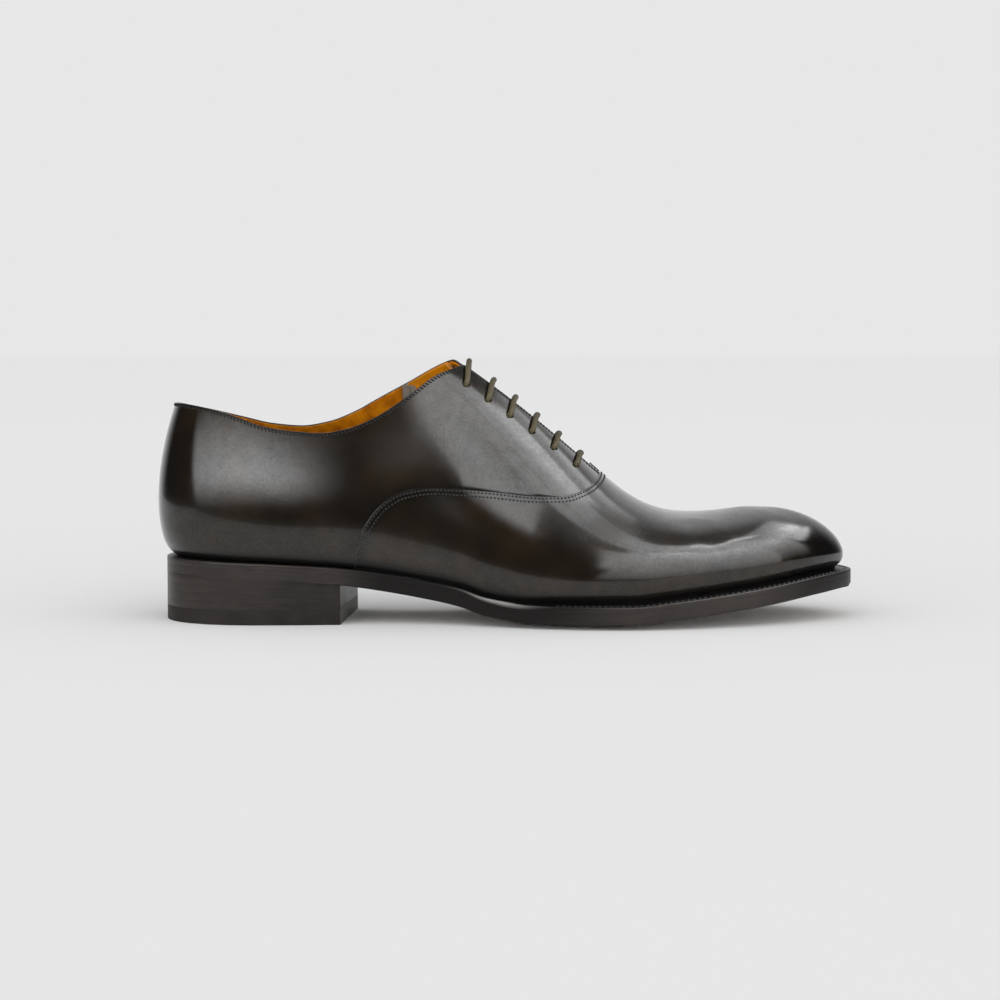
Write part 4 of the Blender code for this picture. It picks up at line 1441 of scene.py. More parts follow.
@dataclass
class Lining:
    """The lining of the whole upper, closed over the toe."""

    last: Last
    near: tuple[float, ...] = tuple(MM * d for d in (0, 0.06, 0.15, 0.28, 0.45, 0.8, 1.4, 2.4, 4.0))
    rest: int = 30
    apart: float = 1.9 * MM
    apart_fine: float = 0.6 * MM
    below_edge: float = 0.32 * MM
    outer_face: float = -1.03 * MM
    inner_face: float = -2.0 * MM
    hollow: float = 1.0 * MM
    hollow_tall: float = 7.5 * MM

    def build(self, finish: LiningFinish) -> Piece:
        """Makes the sheet, without its holes.

        Args:
            finish: The leather.

        Returns:
            The piece.
        """
        last = self.last

        def spacing(t: Floats) -> Floats:
            """Wanted distance between stations."""
            crown = last.rail(t, Rail.CROWN_X)
            corner = smooth_step(np.abs(crown - FACING_TOP), 7 * MM, 12 * MM)
            point = smooth_step(np.abs(crown - VAMP_POINT), 3 * MM, 8 * MM)
            return self.apart_fine + (self.apart - self.apart_fine) * corner * point

        half = spaced(0.0, last.toe, spacing)
        t = np.concatenate([half, 2 * last.toe - half[-2:0:-1]])
        edge = last.edge_share(t)
        shares, lengths = last.lengths(t, edge, np.zeros_like(t))
        lowered = interp_rows(np.full_like(t, self.below_edge), lengths, shares)
        whole = last.rail(t, Rail.CROWN_X) >= VAMP_POINT
        top = np.where(whole, 1.0, lowered)
        v, down = last.rows_down(t, top, np.zeros_like(t), self.near, self.rest)
        base, normal = last.skin(t, v)
        radius = (self.outer_face - self.inner_face) / 2
        turn = np.where(whole[:, None], 0.0, rounding(down, radius))
        turned = undercut(base, self.hollow, self.hollow_tall)
        outer = base + normal * (self.outer_face - turn - turned)[..., None]
        inner = base + normal * (self.inner_face + turn - turned)[..., None]
        ids = np.arange(v.size).reshape(v.shape)
        for k in np.nonzero(whole[: len(half) - 1])[0]:
            ids[len(t) - k, 0] = ids[k, 0]
        # Painted shade: the lining's lower border near-black, where it shows in the dark gap above the welt.
        shade_painted = 1 - smooth_step(base[..., 2] - feather_z(base[..., 0]), 1.0 * MM, 2.0 * MM)
        piece = make_shell("lining", [ids], outer, inner, {"shade_painted": shade_painted}, True)
        wear(piece, finish.material("lining_leather"), "lining_leather", "upper")
        return piece


@dataclass
class LaceHoles:
    """The punched holes in the facings."""

    last: Last
    sides: int = 32
    length: float = 9.0 * MM

    def rows(self) -> Floats:
        """Crown places of the rows, from the top."""
        return np.linspace(EYELET_TOP_X, EYELET_LOW_X, EYELET_ROWS)

    def place(self, x: float, side: Side) -> tuple[float, float]:
        """Station and share of one hole."""
        t = self.last.station_at(x, side)
        return float(t), float(self.last.reach_share(t, EYELET_REACH)[0])

    def punch(self, *pieces: Piece) -> None:
        """Cuts the holes square to the facings.

        Args:
            pieces: The sheets that are cut.
        """
        bm = bmesh.new()
        holes = [self.place(x, side) for x in self.rows() for side in Side]
        for t, v in holes:
            axis = Vector(self.last.normal(t, v))
            turn = axis.to_track_quat("Z", "Y").to_matrix().to_4x4()
            bmesh.ops.create_cone(
                bm,
                cap_ends=True,
                segments=self.sides,
                radius1=EYELET_DIAMETER / 2,
                radius2=EYELET_DIAMETER / 2,
                depth=self.length,
                matrix=Matrix.Translation(self.last.point(t, v)) @ turn,
            )
        mesh = bpy.data.meshes.new("punch")
        bm.to_mesh(mesh)
        bm.free()
        cutter = bpy.data.objects.new("punch", mesh)
        bpy.context.scene.collection.objects.link(cutter)
        for piece in pieces:
            cut = piece.modifiers.new("holes", "BOOLEAN")
            cut.operation, cut.solver, cut.object = "DIFFERENCE", "EXACT", cutter
            cut.material_mode = "INDEX"
            bpy.context.view_layer.update()
            done = bpy.data.meshes.new_from_object(piece.evaluated_get(bpy.context.evaluated_depsgraph_get()))
            piece.modifiers.remove(cut)
            old, piece.data = piece.data, done
            done.name = piece.name
            bpy.data.meshes.remove(old)
            done.set_sharp_from_angle(angle=math.radians(SHARP))
            # The lining's hole walls get painted shade.
            if "shade_painted" in done.attributes:
                self.shade_paint(done, holes)
        bpy.data.objects.remove(cutter)
        bpy.data.meshes.remove(mesh)

    def shade_paint(self, mesh: bpy.types.Mesh, holes: Sequence[tuple[float, float]]) -> None:
        """Paints shade on the walls of the holes.

        Args:
            mesh: The punched sheet.
            holes: Station and share of each hole.
        """
        corners = np.array([v.co for v in mesh.vertices])
        shade_painted = np.array([item.value for item in mesh.attributes["shade_painted"].data])
        for t, v in holes:
            axis = self.last.normal(t, v)
            away = corners - self.last.point(t, v)
            beside = np.linalg.norm(away - (away @ axis)[:, None] * axis, axis=1)
            shade_painted[(beside < EYELET_DIAMETER / 2 + 0.1 * MM) & (np.abs(away @ axis) < self.length)] = 1.0
        mesh.attributes["shade_painted"].data.foreach_set("value", shade_painted)


@dataclass(frozen=True)
class TongueFinish(Finish):
    """Calf outside, lining leather inside, with a bare margin along the back edge, a dark seam line in it,
    and painted shadow along the edge itself.
    """

    outside: Colour = (0.016, 0.0125, 0.0105)
    inside: Colour = (0.41, 0.140, 0.0)
    bare: Colour = (0.15, 0.131, 0.112)
    seam_and_edge_shade: Colour = (0.05, 0.035, 0.022)

    def dress(self, g: Graph) -> None:
        """Lays out the nodes.

        Args:
            g: The graph of a new material.
        """
        place = g.place()
        mottle = g.noise(place, 150.0, 4.0, 0.65)
        inner = g.blend(mottle.ramp(0.3, 0.75), dark(self.inside, 0.72), self.inside)
        inner = g.blend(g.layer("bare"), inner, self.bare)
        # Dark seam line in the margin, and painted shadow along the back edge.
        inner = g.blend(g.layer("seam_and_edge_shade"), inner, self.seam_and_edge_shade)
        outer = g.blend(mottle.ramp(0.3, 0.75), dark(self.outside, 0.6), self.outside)
        turned = g.layer("inside").ramp(0.3, 0.7).most(g.layer("lined"))
        pores = g.cells(place, 2000.0)
        g.relief(pores * 0.6 + g.noise(place, 900.0, 3.0) * 0.6, 0.05 * MM, 0.6)
        rough = 0.34 + turned * 0.2 + (mottle - 0.5) * 0.15
        g.finish(Base_Color=g.blend(turned, outer, inner), Roughness=rough, Specular_IOR_Level=0.1)


@dataclass
class Tongue:
    """The sheet under the facings, its back edge cut along the top line."""

    last: Last
    back_x: float = -46.0 * MM
    front_x: float = 57.0 * MM
    half_back: float = 36.0 * MM
    half_front: float = 22.0 * MM
    raise_lateral: float = -1.0 * MM
    raise_medial: float = -0.6 * MM
    least_share: float = 0.04
    columns: int = 100
    rows: int = 26
    margin: float = 6.0 * MM
    crowding: float = 1.7

    def build(self, finish: TongueFinish) -> None:
        """Makes the sheet.

        Args:
            finish: Its leathers.
        """
        face, back = -(WALL + LACE_ROOM), -(WALL + LACE_ROOM + TONGUE)
        forward = np.linspace(0.0, 1.0, self.columns + 1) ** self.crowding
        x = self.back_x + (self.front_x - self.back_x) * forward
        half = self.half_back + (self.half_front - self.half_back) * forward
        outer, inner, highs = [], [], []
        for side, raised in ((Side.LATERAL, self.raise_lateral), (Side.MEDIAL, self.raise_medial)):
            t = self.last.station_at(x, side)
            high = self.last.top_line_share(t, raised, face)
            low = np.minimum(self.last.reach_share(t, half, face), high - self.least_share)
            v = low[:, None] + (high - low)[:, None] * np.linspace(0.0, 1.0, self.rows + 1)
            stations = np.broadcast_to(t[:, None], v.shape)
            round_ = 0.35 * MM * bump(np.linspace(0.0, 1.0, self.rows + 1), 0.0, 0.05)
            outer.append(self.last.offset(stations, v, face - np.broadcast_to(round_, v.shape)))
            inner.append(self.last.offset(stations, v, back + np.broadcast_to(round_, v.shape)))
            highs.append(high)
        ids = np.arange(2 * outer[0].shape[0] * outer[0].shape[1]).reshape(2, *outer[0].shape[:2])
        met = (highs[0] >= 1.0) & (highs[1] >= 1.0)
        ids[1, met, -1] = ids[0, met, -1]
        from_back = np.broadcast_to((x - x[0])[None, :, None], ids.shape)
        climb = np.linspace(0.0, 1.0, self.rows + 1)[None, None, :]
        wide = self.margin * (1 - 0.65 * smooth_step(climb, 0.7, 1.0))
        values = {
            "bare": 1 - smooth_step(from_back - wide, 0.0, 0.6 * MM),
            # A dark seam line in the margin, and painted shadow at the back edge.
            "seam_and_edge_shade": 0.8 * bump(from_back - 0.62 * wide, 0.0, 0.3 * MM) + 0.7 * bump(from_back, 0.0, 0.4 * MM),
            "lined": np.broadcast_to(1 - smooth_step(x, -24 * MM, -20 * MM)[None, :, None], ids.shape),
        }
        piece = make_shell("tongue_sheet", list(ids), np.array(outer), np.array(inner), values)
        wear(piece, finish.material("tongue_leather"), "lining_leather", "tongue")


@dataclass
class Sock:
    """The insole with its leather sock, inside the foot of the wall."""

    last: Last
    apart: float = 2.4 * MM
    across: int = 18
    inset: float = WALL + 1.1 * MM
    lift: float = 0.5 * MM
    cushion: float = 0.5 * MM
    sunk: float = 0.3 * MM

    def build(self, finish: LiningFinish) -> None:
        """Makes the sheet.

        Args:
            finish: The leather.
        """
        t = evenly(0.0, self.last.toe, self.apart)
        share = np.linspace(0.0, 1.0, self.across + 1)
        left = self.last.plan(t, np.full_like(t, -self.inset))
        right = self.last.plan(2 * self.last.toe - t, np.full_like(t, -self.inset))
        plan = left[:, None] + (right - left)[:, None] * share[None, :, None]
        low = feather_z(plan[..., 0])
        dome = self.cushion * np.sin(np.pi * share)[None, :] ** 0.5
        upper = np.concatenate([plan, (low + INSOLE - self.sunk + dome)[..., None]], axis=-1)
        lower = np.concatenate([plan, (low + self.lift)[..., None]], axis=-1)
        ids = np.arange(low.size).reshape(low.shape)
        ids[0], ids[-1] = ids[0, 0], ids[-1, 0]
        piece = make_shell("sock", [ids], upper, lower, {"shade_painted": np.zeros(low.shape)})
        wear(piece, finish.material("sock_leather"), "lining_leather", "insole")


def waist_shade(x: Floats) -> Floats:
    """Share of black in the sole's edge, most at the waist and some at the toe."""
    waist = smooth_step(x, -80 * MM, -52 * MM) * (1 - smooth_step(x, 12 * MM, 58 * MM))
    return 0.88 * waist + 0.8 * smooth_step(x, 110 * MM, 142 * MM)


class EdgePoint(NamedTuple):
    """A place on an edge's profile: inset from its outermost line and height from its base."""

    inset: Floats | float
    height: Floats | float


@dataclass
class Welt:
    """The strip round the feather line, with a rounded edge and a row of stitches."""

    last: Last
    apart: float = 1.6 * MM
    fine: float = 0.02 * MM
    bevel: float = 0.6 * MM
    slant: float = 1.7 * MM
    slant_x: float = 0.0 * MM
    slant_length: float = 16.0 * MM
    least_wall: float = 0.4 * MM
    hidden_rise: float = 0.2 * MM
    # Share of the painted glint on each ring of the profile.
    glint_rings: tuple[float, ...] = (0, 0, 0, 0, 0, 0.35, 1.0, 0.5, 0, 0, 0)

    def profile(self, b: Floats) -> list[EdgePoint]:
        """The outer edge from below, heights counted down from the top where negative."""
        f = self.fine
        lower = [EdgePoint(1.2 * f, 0.0), EdgePoint(0.35 * f, 0.3 * f), EdgePoint(0.0, 1.1 * f)]
        upper = [EdgePoint(0.0, -b), EdgePoint(0.12 * b, -0.5 * b), EdgePoint(0.45 * b, -0.15 * b)]
        return lower + upper + [EdgePoint(b, 0.0)]

    def build(self, finish: EdgeFinish) -> Piece:
        """Makes the ring.

        Args:
            finish: The waxed leather.

        Returns:
            The piece.
        """
        t = evenly(0.0, 2 * self.last.toe, self.apart)[:-1]
        ledge = self.last.rail(t, Rail.LEDGE)
        rings = []

        def add(offset: Floats, height: Floats | float) -> None:
            """One line of points round the ring."""
            plan = self.last.plan(t, offset)
            base = outsole_top_z(plan[:, 0]) + GAP
            z = np.where(height < 0, base + WELT + height, base + height)
            rings.append(np.column_stack([plan, z]))

        add(np.full_like(t, -WELT_REACH), 0.0)
        wide = self.bevel + self.slant * bump(self.last.rail(t, Rail.X), self.slant_x, self.slant_length)
        wide = np.minimum(wide, np.minimum(WELT - self.least_wall, np.maximum(0.9 * ledge, self.bevel)))
        for place in self.profile(wide):
            add(ledge - place.inset, place.height)
        rings[-1][:, 2] = welt_top_z(rings[-1][:, 0])
        for share in (0.5, 0.0):
            add(np.maximum(ledge - wide, 0.0) * share, WELT + self.hidden_rise * (1 - share))
        add(np.full_like(t, -WELT_REACH), WELT + self.hidden_rise)
        grid = np.stack(rings, axis=1)
        x = grid[..., 0]
        # Painted glint on the welt's top edge: strong at the waist on the lateral side, faint at the heel and
        # the toe.
        painted_glint = 0.9 * bump(x, -4 * MM, 13 * MM) * (grid[..., 1] < 0) + 0.08 * bump(x, -108 * MM, 26 * MM)
        painted_glint = (painted_glint + 0.10 * smooth_step(x, 60 * MM, 100 * MM)) * np.array(self.glint_rings)
        values = {"under": np.zeros(x.shape), "shade": waist_shade(x), "painted_glint": painted_glint}
        piece = make_ring("welt_strip", grid, values, True)
        wear(piece, finish.material("welt_leather"), "sole_edge", "welt")
        return piece


@dataclass
class Outsole:
    """The leather sole: bellied below, with a rounded edge."""

    last: Last
    apart: float = 2.0 * MM
    belly: tuple[tuple[float, float], ...] = (
        (-1.0, 1.0), (-0.93, 0.80), (-0.86, 0.60), (-0.78, 0.40), (-0.68, 0.20), (-0.58, 0.06), (-0.48, 0.0),
        (-0.2, 0.0), (0.2, 0.0),
        (0.48, 0.0), (0.58, 0.06), (0.68, 0.20), (0.78, 0.40), (0.86, 0.60), (0.93, 0.80), (1.0, 1.0),
    )
    edge: tuple[EdgePoint, ...] = (
        EdgePoint(0.30, 0.05),
        EdgePoint(0.08, 0.13),
        EdgePoint(0.0, 0.24),
        EdgePoint(0.0, 1.0),
    )
    bevel: float = 0.7 * MM
    tip_round: float = 2.5
    tip_from: float = 110.0 * MM
    tip_to: float = 145.0 * MM
    free_run: float = 4.0 * MM
    joint: float = 0.03 * MM
    worn_to: float = 0.9

    def build(self, finish: EdgeFinish) -> None:
        """Makes the sole.

        Args:
            finish: The waxed leather.
        """
        t = evenly(0.0, self.last.toe, self.apart)
        sides = (t, 2 * self.last.toe - t)
        ledge = [self.last.rail(s, Rail.LEDGE) for s in sides]
        along = [self.last.rail(s, Rail.X) for s in sides]
        free = [smooth_step(x, BREAST_LATERAL_X - self.free_run, BREAST_LATERAL_X) for x in along]
        inset = [self.last.plan(s, e - self.bevel * f) for s, e, f in zip(sides, ledge, free)]
        lines, under = [], []
        for across, lift in self.belly:
            plan = inset[0] + (inset[1] - inset[0]) * (across + 1) / 2
            middle = sole_middle_z(plan[:, 0])
            z = middle + lift * (sole_edge_z(plan[:, 0]) - middle)
            lines.append(np.column_stack([plan, z]))
            under.append(np.full(len(t), float(abs(across) < self.worn_to)))
        walls = []
        for s, e, f, x in zip(sides, ledge, free, along):
            wall = []
            tip = 1 + self.tip_round * smooth_step(x, self.tip_from, self.tip_to)
            for place in self.edge:
                plan = self.last.plan(s, e - place.inset * MM * f * tip)
                low, high = sole_edge_z(plan[:, 0]), outsole_top_z(plan[:, 0]) + GAP - self.joint
                wall.append(np.column_stack([plan, low + (high - low) * place.height]))
            walls.append(wall)
        lines += walls[1] + walls[0][::-1]
        under += [np.zeros(len(t))] * (2 * len(self.edge))
        grid, marks = np.stack(lines, axis=1), np.stack(under, axis=1)
        ids = np.arange(marks.size).reshape(marks.shape)
        count = len(self.belly)
        for end in (0, -1):
            ids[end, :count] = ids[end, 0]
            for k in range(len(self.edge)):
                ids[end, -1 - k] = ids[end, count + k]
        used, faces = compact(grid.reshape(-1, 3), grid_faces(ids, False, True))
        corners = grid.reshape(-1, 3)[used]
        values = {"under": marks.reshape(-1)[used], "shade": waist_shade(corners[:, 0])}
        piece = make_piece("sole", corners, faces, values)
        wear(piece, finish.material("sole_leather"), "sole_edge", "outsole")


@dataclass
class Heel:
    """The heel: a stack of leather lifts and a rubber top piece."""

    last: Last
    apart: float = 1.5 * MM
    breast_points: int = 24
    lifts: int = 4
    joint: float = 0.16 * MM
    joint_depth: float = 0.02 * MM
    rounding: float = 0.12 * MM

    def outline(self, inset: float) -> Floats:
        """The heel's outline in plan, from the medial breast round the back and across.

        Args:
            inset: How far inside the sole's edge it runs.

        Returns:
            Plan points in order.
        """
        last = self.last
        half = np.linspace(0.0, last.toe / 2, TABLE_SAMPLES)
        ends = []
        for side, x in ((Side.LATERAL, BREAST_LATERAL_X), (Side.MEDIAL, BREAST_MEDIAL_X)):
            edge = last.plan(half * -side, last.rail(half * -side, Rail.LEDGE))
            ends.append(float(np.interp(x, edge[:, 0], half)))
        t = evenly(-ends[1], ends[0], self.apart)
        back = last.plan(t, last.rail(t, Rail.LEDGE) - inset)
        share = np.linspace(0.0, 1.0, self.breast_points + 1)[1:-1, None]
        breast = back[-1] + (back[0] - back[-1]) * share
        loop = np.concatenate([back, breast])
        loop[len(back) :, 0] -= inset * 0.5
        return loop

    def slice(self, name: str, low: Rule, high: Rule, joints: Sequence[float]) -> Piece:
        """A slice of the heel between two levels.

        Args:
            name: The piece's name.
            low: Height of its lower face at x.
            high: Height of its upper face at x.
            joints: Shares of its height at which lifts meet.

        Returns:
            The piece, not yet dressed.
        """
        middle = np.array(-110 * MM)
        tall = float(high(middle) - low(middle))
        part = 0.3 * self.rounding
        levels = [(0.0, self.rounding), (part / tall, part), (self.rounding / tall, 0.0)]
        for joint in joints:
            half = self.joint / tall
            levels += [(joint - half, 0.0), (joint, self.joint_depth), (joint + half, 0.0)]
        levels += [(1 - self.rounding / tall, 0.0), (1.0, part)]
        rings = []
        for share, inset in levels:
            plan = self.outline(inset)
            bottom, top = low(plan[:, 0]), high(plan[:, 0])
            rings.append(np.column_stack([plan, bottom + (top - bottom) * share]))
        grid = np.stack(rings)
        shade = 0.35 * smooth_step(grid[..., 0], -125 * MM, -85 * MM)
        none = np.zeros(grid.shape[:2])
        # The breast face, where the top piece gets its painted reflection.
        breast = np.broadcast_to(np.arange(grid.shape[1]) > grid.shape[1] - self.breast_points, none.shape)
        values = {"under": none, "shade": shade, "painted_glint": none, "breast": breast.astype(float)}
        return make_ring(name, grid, values, False, 35.0)

    def build(self, stack_finish: EdgeFinish, rubber: RubberFinish) -> None:
        """Makes the stack and the top piece.

        Args:
            stack_finish: The lifts' waxed leather.
            rubber: The top piece's rubber.
        """
        joints = [k / self.lifts for k in range(1, self.lifts)]
        gap = 0.02 * MM
        stack = self.slice(
            "heel_lifts", lambda x: np.full_like(x, TOP_PIECE + gap), lambda x: sole_middle_z(x) - gap, joints
        )
        wear(stack, stack_finish.material("lift_leather"), "sole_edge", "heel_stack")
        top = self.slice("top_piece", np.zeros_like, lambda x: np.full_like(x, TOP_PIECE), [])
        wear(top, rubber.material("top_piece_rubber"), "heel_rubber", "heel_top_piece")


class Hole(NamedTuple):
    """A stop of the lace: its row from the top, side, and a shift of the hidden run up the facing."""

    row: int
    side: Side
    shift: float


@dataclass
class Lace:
    """One lace: straight bars over the throat, joined by hidden runs under the facings."""

    last: Last
    holes: LaceHoles
    route: tuple[Hole, ...] = (
        Hole(0, Side.MEDIAL, 0.0), Hole(0, Side.LATERAL, ASIDE),
        Hole(2, Side.LATERAL, ASIDE), Hole(2, Side.MEDIAL, ASIDE),
        Hole(4, Side.MEDIAL, ASIDE), Hole(4, Side.LATERAL, 0.0),
        Hole(5, Side.LATERAL, 0.0), Hole(5, Side.MEDIAL, -ASIDE),
        Hole(3, Side.MEDIAL, -ASIDE), Hole(3, Side.LATERAL, -ASIDE),
        Hole(1, Side.LATERAL, -ASIDE), Hole(1, Side.MEDIAL, 0.0),
    )
    hidden: float = -3.45 * MM
    thick: float = 2.55 * MM
    sides: int = 20
    apart: float = 0.4 * MM
    bar_steps: int = 8
    relief: float = 0.05 * MM

    def arm(self, row: int, side: Side) -> list[Floats]:
        """The bar's points from its hole to the crown.

        Args:
            row: Row from the top.
            side: The side of the hole.

        Returns:
            Points in order.
        """
        x = float(self.holes.rows()[row])
        lean = BAR_LEAN if row else BAR_LEAN_TOP
        above = LACE_DIAMETER / 2 + LACE_CLEARANCE
        start = [(0.0, -1.1 * MM), (0.0, 0.9 * MM), (0.07, above + 0.2 * MM)]
        rise = [(0.07 + 0.93 * k / self.bar_steps, above) for k in range(1, self.bar_steps + 1)]
        share = self.holes.place(x, side)[1]
        points = []
        for climb, height in start + rise:
            t = self.last.station_at(x + lean * climb, side)
            points.append(self.last.offset(t, share + (1 - share) * climb, np.array(height)))
        return points

    def run(self, a: Hole, b: Hole) -> list[Floats]:
        """The hidden run between two holes of one side.

        Args:
            a: Where it dips in.
            b: Where it comes out again.

        Returns:
            Points in order, without the holes themselves.
        """
        xs = self.holes.rows()[[a.row, b.row]]
        points = []
        for share in (0.12, 0.3, 0.5, 0.7, 0.88):
            t = self.last.station_at(xs[0] + (xs[1] - xs[0]) * share, a.side)
            aside = a.shift * min(1.0, 4 * min(share, 1 - share))
            v = float(self.last.reach_share(t, EYELET_REACH - aside)[0])
            points.append(self.last.offset(t, v, np.array(self.hidden)))
        return points

    def path(self) -> Floats:
        """The lace's middle line, through all its holes."""
        points: list[Floats] = []
        for k in range(0, len(self.route), 2):
            a, b = self.route[k], self.route[k + 1]
            points += self.arm(a.row, a.side) + self.arm(b.row, b.side)[-2::-1]
            if k + 2 < len(self.route):
                points += self.run(b, self.route[k + 2])
        first, last_ = self.route[0], self.route[-1]
        points = self.run(Hole(1, first.side, 0.0), first)[-2:] + points
        points += self.run(last_, Hole(0, last_.side, ASIDE))[:3]
        rough, _ = resampled(np.array(points), 0.2 * MM)
        weights = np.exp(-np.linspace(-2, 2, 9) ** 2)
        padded = np.concatenate([rough[:1].repeat(4, 0), rough, rough[-1:].repeat(4, 0)])
        weights /= weights.sum()
        smooth = np.stack([np.convolve(padded[:, k], weights, "valid") for k in range(3)], axis=1)
        return resampled(smooth, self.apart)[0]

    def build(self, finish: CordFinish) -> float:
        """Makes the lace.

        Args:
            finish: The cord.

        Returns:
            The lace's length.
        """
        path = self.path()
        along = unit(np.gradient(path, axis=0))
        length = np.concatenate([[0.0], np.cumsum(np.linalg.norm(np.diff(path, axis=0), axis=1))])
        across = np.zeros_like(path)
        across[0] = unit(np.cross(along[0], [1.0, 0.0, 0.0]))
        for k in range(1, len(path)):
            across[k] = unit(across[k - 1] - along[k] * (across[k - 1] @ along[k]))
        other = np.cross(along, across)
        angle = np.linspace(0.0, 2 * math.pi, self.sides, endpoint=False)
        lap = 2 * math.pi * length[:, None] / finish.pitch
        waves = [np.abs(np.sin(finish.strands / 2 * angle[None, :] + way * lap)) for way in (1, -1)]
        radius = self.thick / 2 - self.relief * (1 - np.maximum(*waves))
        ways = across[:, None] * np.cos(angle)[None, :, None] + other[:, None] * np.sin(angle)[None, :, None]
        grid = path[:, None] + ways * radius[..., None]
        piece = make_ring("lace", grid, None, False, 80.0)
        mesh = piece.data
        layer = mesh.uv_layers.new(name="braid")
        for polygon in mesh.polygons:
            corners = [mesh.loops[i].vertex_index for i in polygon.loop_indices]
            turns = [c % self.sides for c in corners]
            wraps = max(turns) - min(turns) > self.sides / 2
            for i, c, turn in zip(polygon.loop_indices, corners, turns):
                around = turn + self.sides if wraps and turn == 0 else turn
                layer.data[i].uv = (around / self.sides, length[c // self.sides])
        bars = [f"lace_bar_{k + 1}" for k in range(EYELET_ROWS)]
        wear(piece, finish.material("lace_cotton"), "lace_cord", *bars)
        return float(length[-1])


class Sewing(Enum):
    """Pitch and length of the stitches in each kind of row, and their angle to it in degrees."""

    VAMP = (1.65 * MM, 1.15 * MM, 18.0)
    EDGE = (1.6 * MM, 1.8 * MM, -52.0)
    WELT = (2.6 * MM, 1.9 * MM, 0.0)
    TACK = (0.75 * MM, 4.4 * MM, 90.0)


VAMP_ROWS = (1.05 * MM, 2.8 * MM)
TACK_X = (VAMP_POINT - 4.6 * MM, VAMP_POINT - 1.0 * MM)
WELT_ROW_X, WELT_ROW_SHARE, WELT_ROW_LEDGE = 22.0 * MM, 0.62, 2.6 * MM


@dataclass
class Stitching:
    """Rows of stitches, each a short rounded thread that dips into the leather at both ends."""

    last: Last
    thick: float = 0.80 * MM
    reach: float = 3.0 * MM
    sides: int = 6
    outline: tuple[tuple[float, float, float], ...] = (
        (0.0, -0.20, 0.5), (0.16, 0.04, 0.9), (0.5, 0.13, 1.0), (0.84, 0.04, 0.9), (1.0, -0.20, 0.5),
    )

    def row(
        self, name: str, curve: Floats, normals: Floats, on: Piece | None, kind: Sewing, finish: ThreadFinish
    ) -> None:
        """Sews one row.

        Args:
            name: The piece's name.
            curve: Points near the surface that the row follows.
            normals: The surface's normals there.
            on: The piece that is sewn, or None where the curve itself is the place.
            kind: The kind of row.
            finish: The thread.
        """
        pitch, length, slant = kind.value
        tree = surface_of(on) if on else None
        even, index = resampled(curve, pitch)
        order = np.arange(len(curve))
        normal = unit(np.stack([np.interp(index, order, normals[:, k]) for k in range(3)], axis=1))
        along = unit(np.gradient(even, axis=0))
        points: list[Floats] = []
        faces: Corners = []
        angle = np.linspace(0.0, 2 * math.pi, self.sides, endpoint=False)
        for place, n, way in zip(even, normal, along):
            hit = tree.ray_cast(Vector(place + n * self.reach), Vector(-n))[0] if tree else place
            if hit is None:
                continue
            base = np.array(hit)
            side = unit(np.cross(n, way))
            lean = math.radians(slant)
            run = way * math.cos(lean) + side * math.sin(lean)
            cross = unit(np.cross(n, run))
            rings = []
            for share, lift, size in self.outline:
                middle = base + run * (share - 0.5) * length + n * (lift * MM + 0.02 * MM)
                radius = self.thick / 2 * size
                rings.append(
                    middle
                    + cross * (np.cos(angle) * radius)[:, None]
                    + n * (np.sin(angle) * radius * 0.8)[:, None]
                )
            first = len(points) * self.sides * len(self.outline)
            ids = first + np.arange(self.sides * len(self.outline)).reshape(len(self.outline), self.sides)
            faces += grid_faces(ids, False, True)
            faces += caps(ids)
            points.append(np.concatenate(rings))
        piece = make_piece(name, np.concatenate(points), faces)
        wear(piece, finish.material(f"{name}_thread"), "upper_leather")

    def beside(self, t: Floats, v: Floats, distance: Floats | float) -> tuple[Floats, Floats]:
        """A curve beside one on the last, in its skin, on the side towards the sole.

        Args:
            t: Stations of the first curve.
            v: Its shares.
            distance: How far beside it the new curve runs.

        Returns:
            The new curve's points and the skin's normals.
        """
        points = self.last.point(t, v)
        normals = self.last.normal(t, np.clip(v, 0.0, 0.999))
        side = unit(np.cross(normals, unit(np.gradient(points, axis=0))))
        towards = -np.sign(side[:, 2:3] + 1e-9)
        return points + side * towards * np.reshape(distance, (-1, 1)), normals


@dataclass(frozen=True)
class Fade:
    """Shares of a panel's width and height over which each border fades."""

    left: float
    right: float
    low: float
    high: float


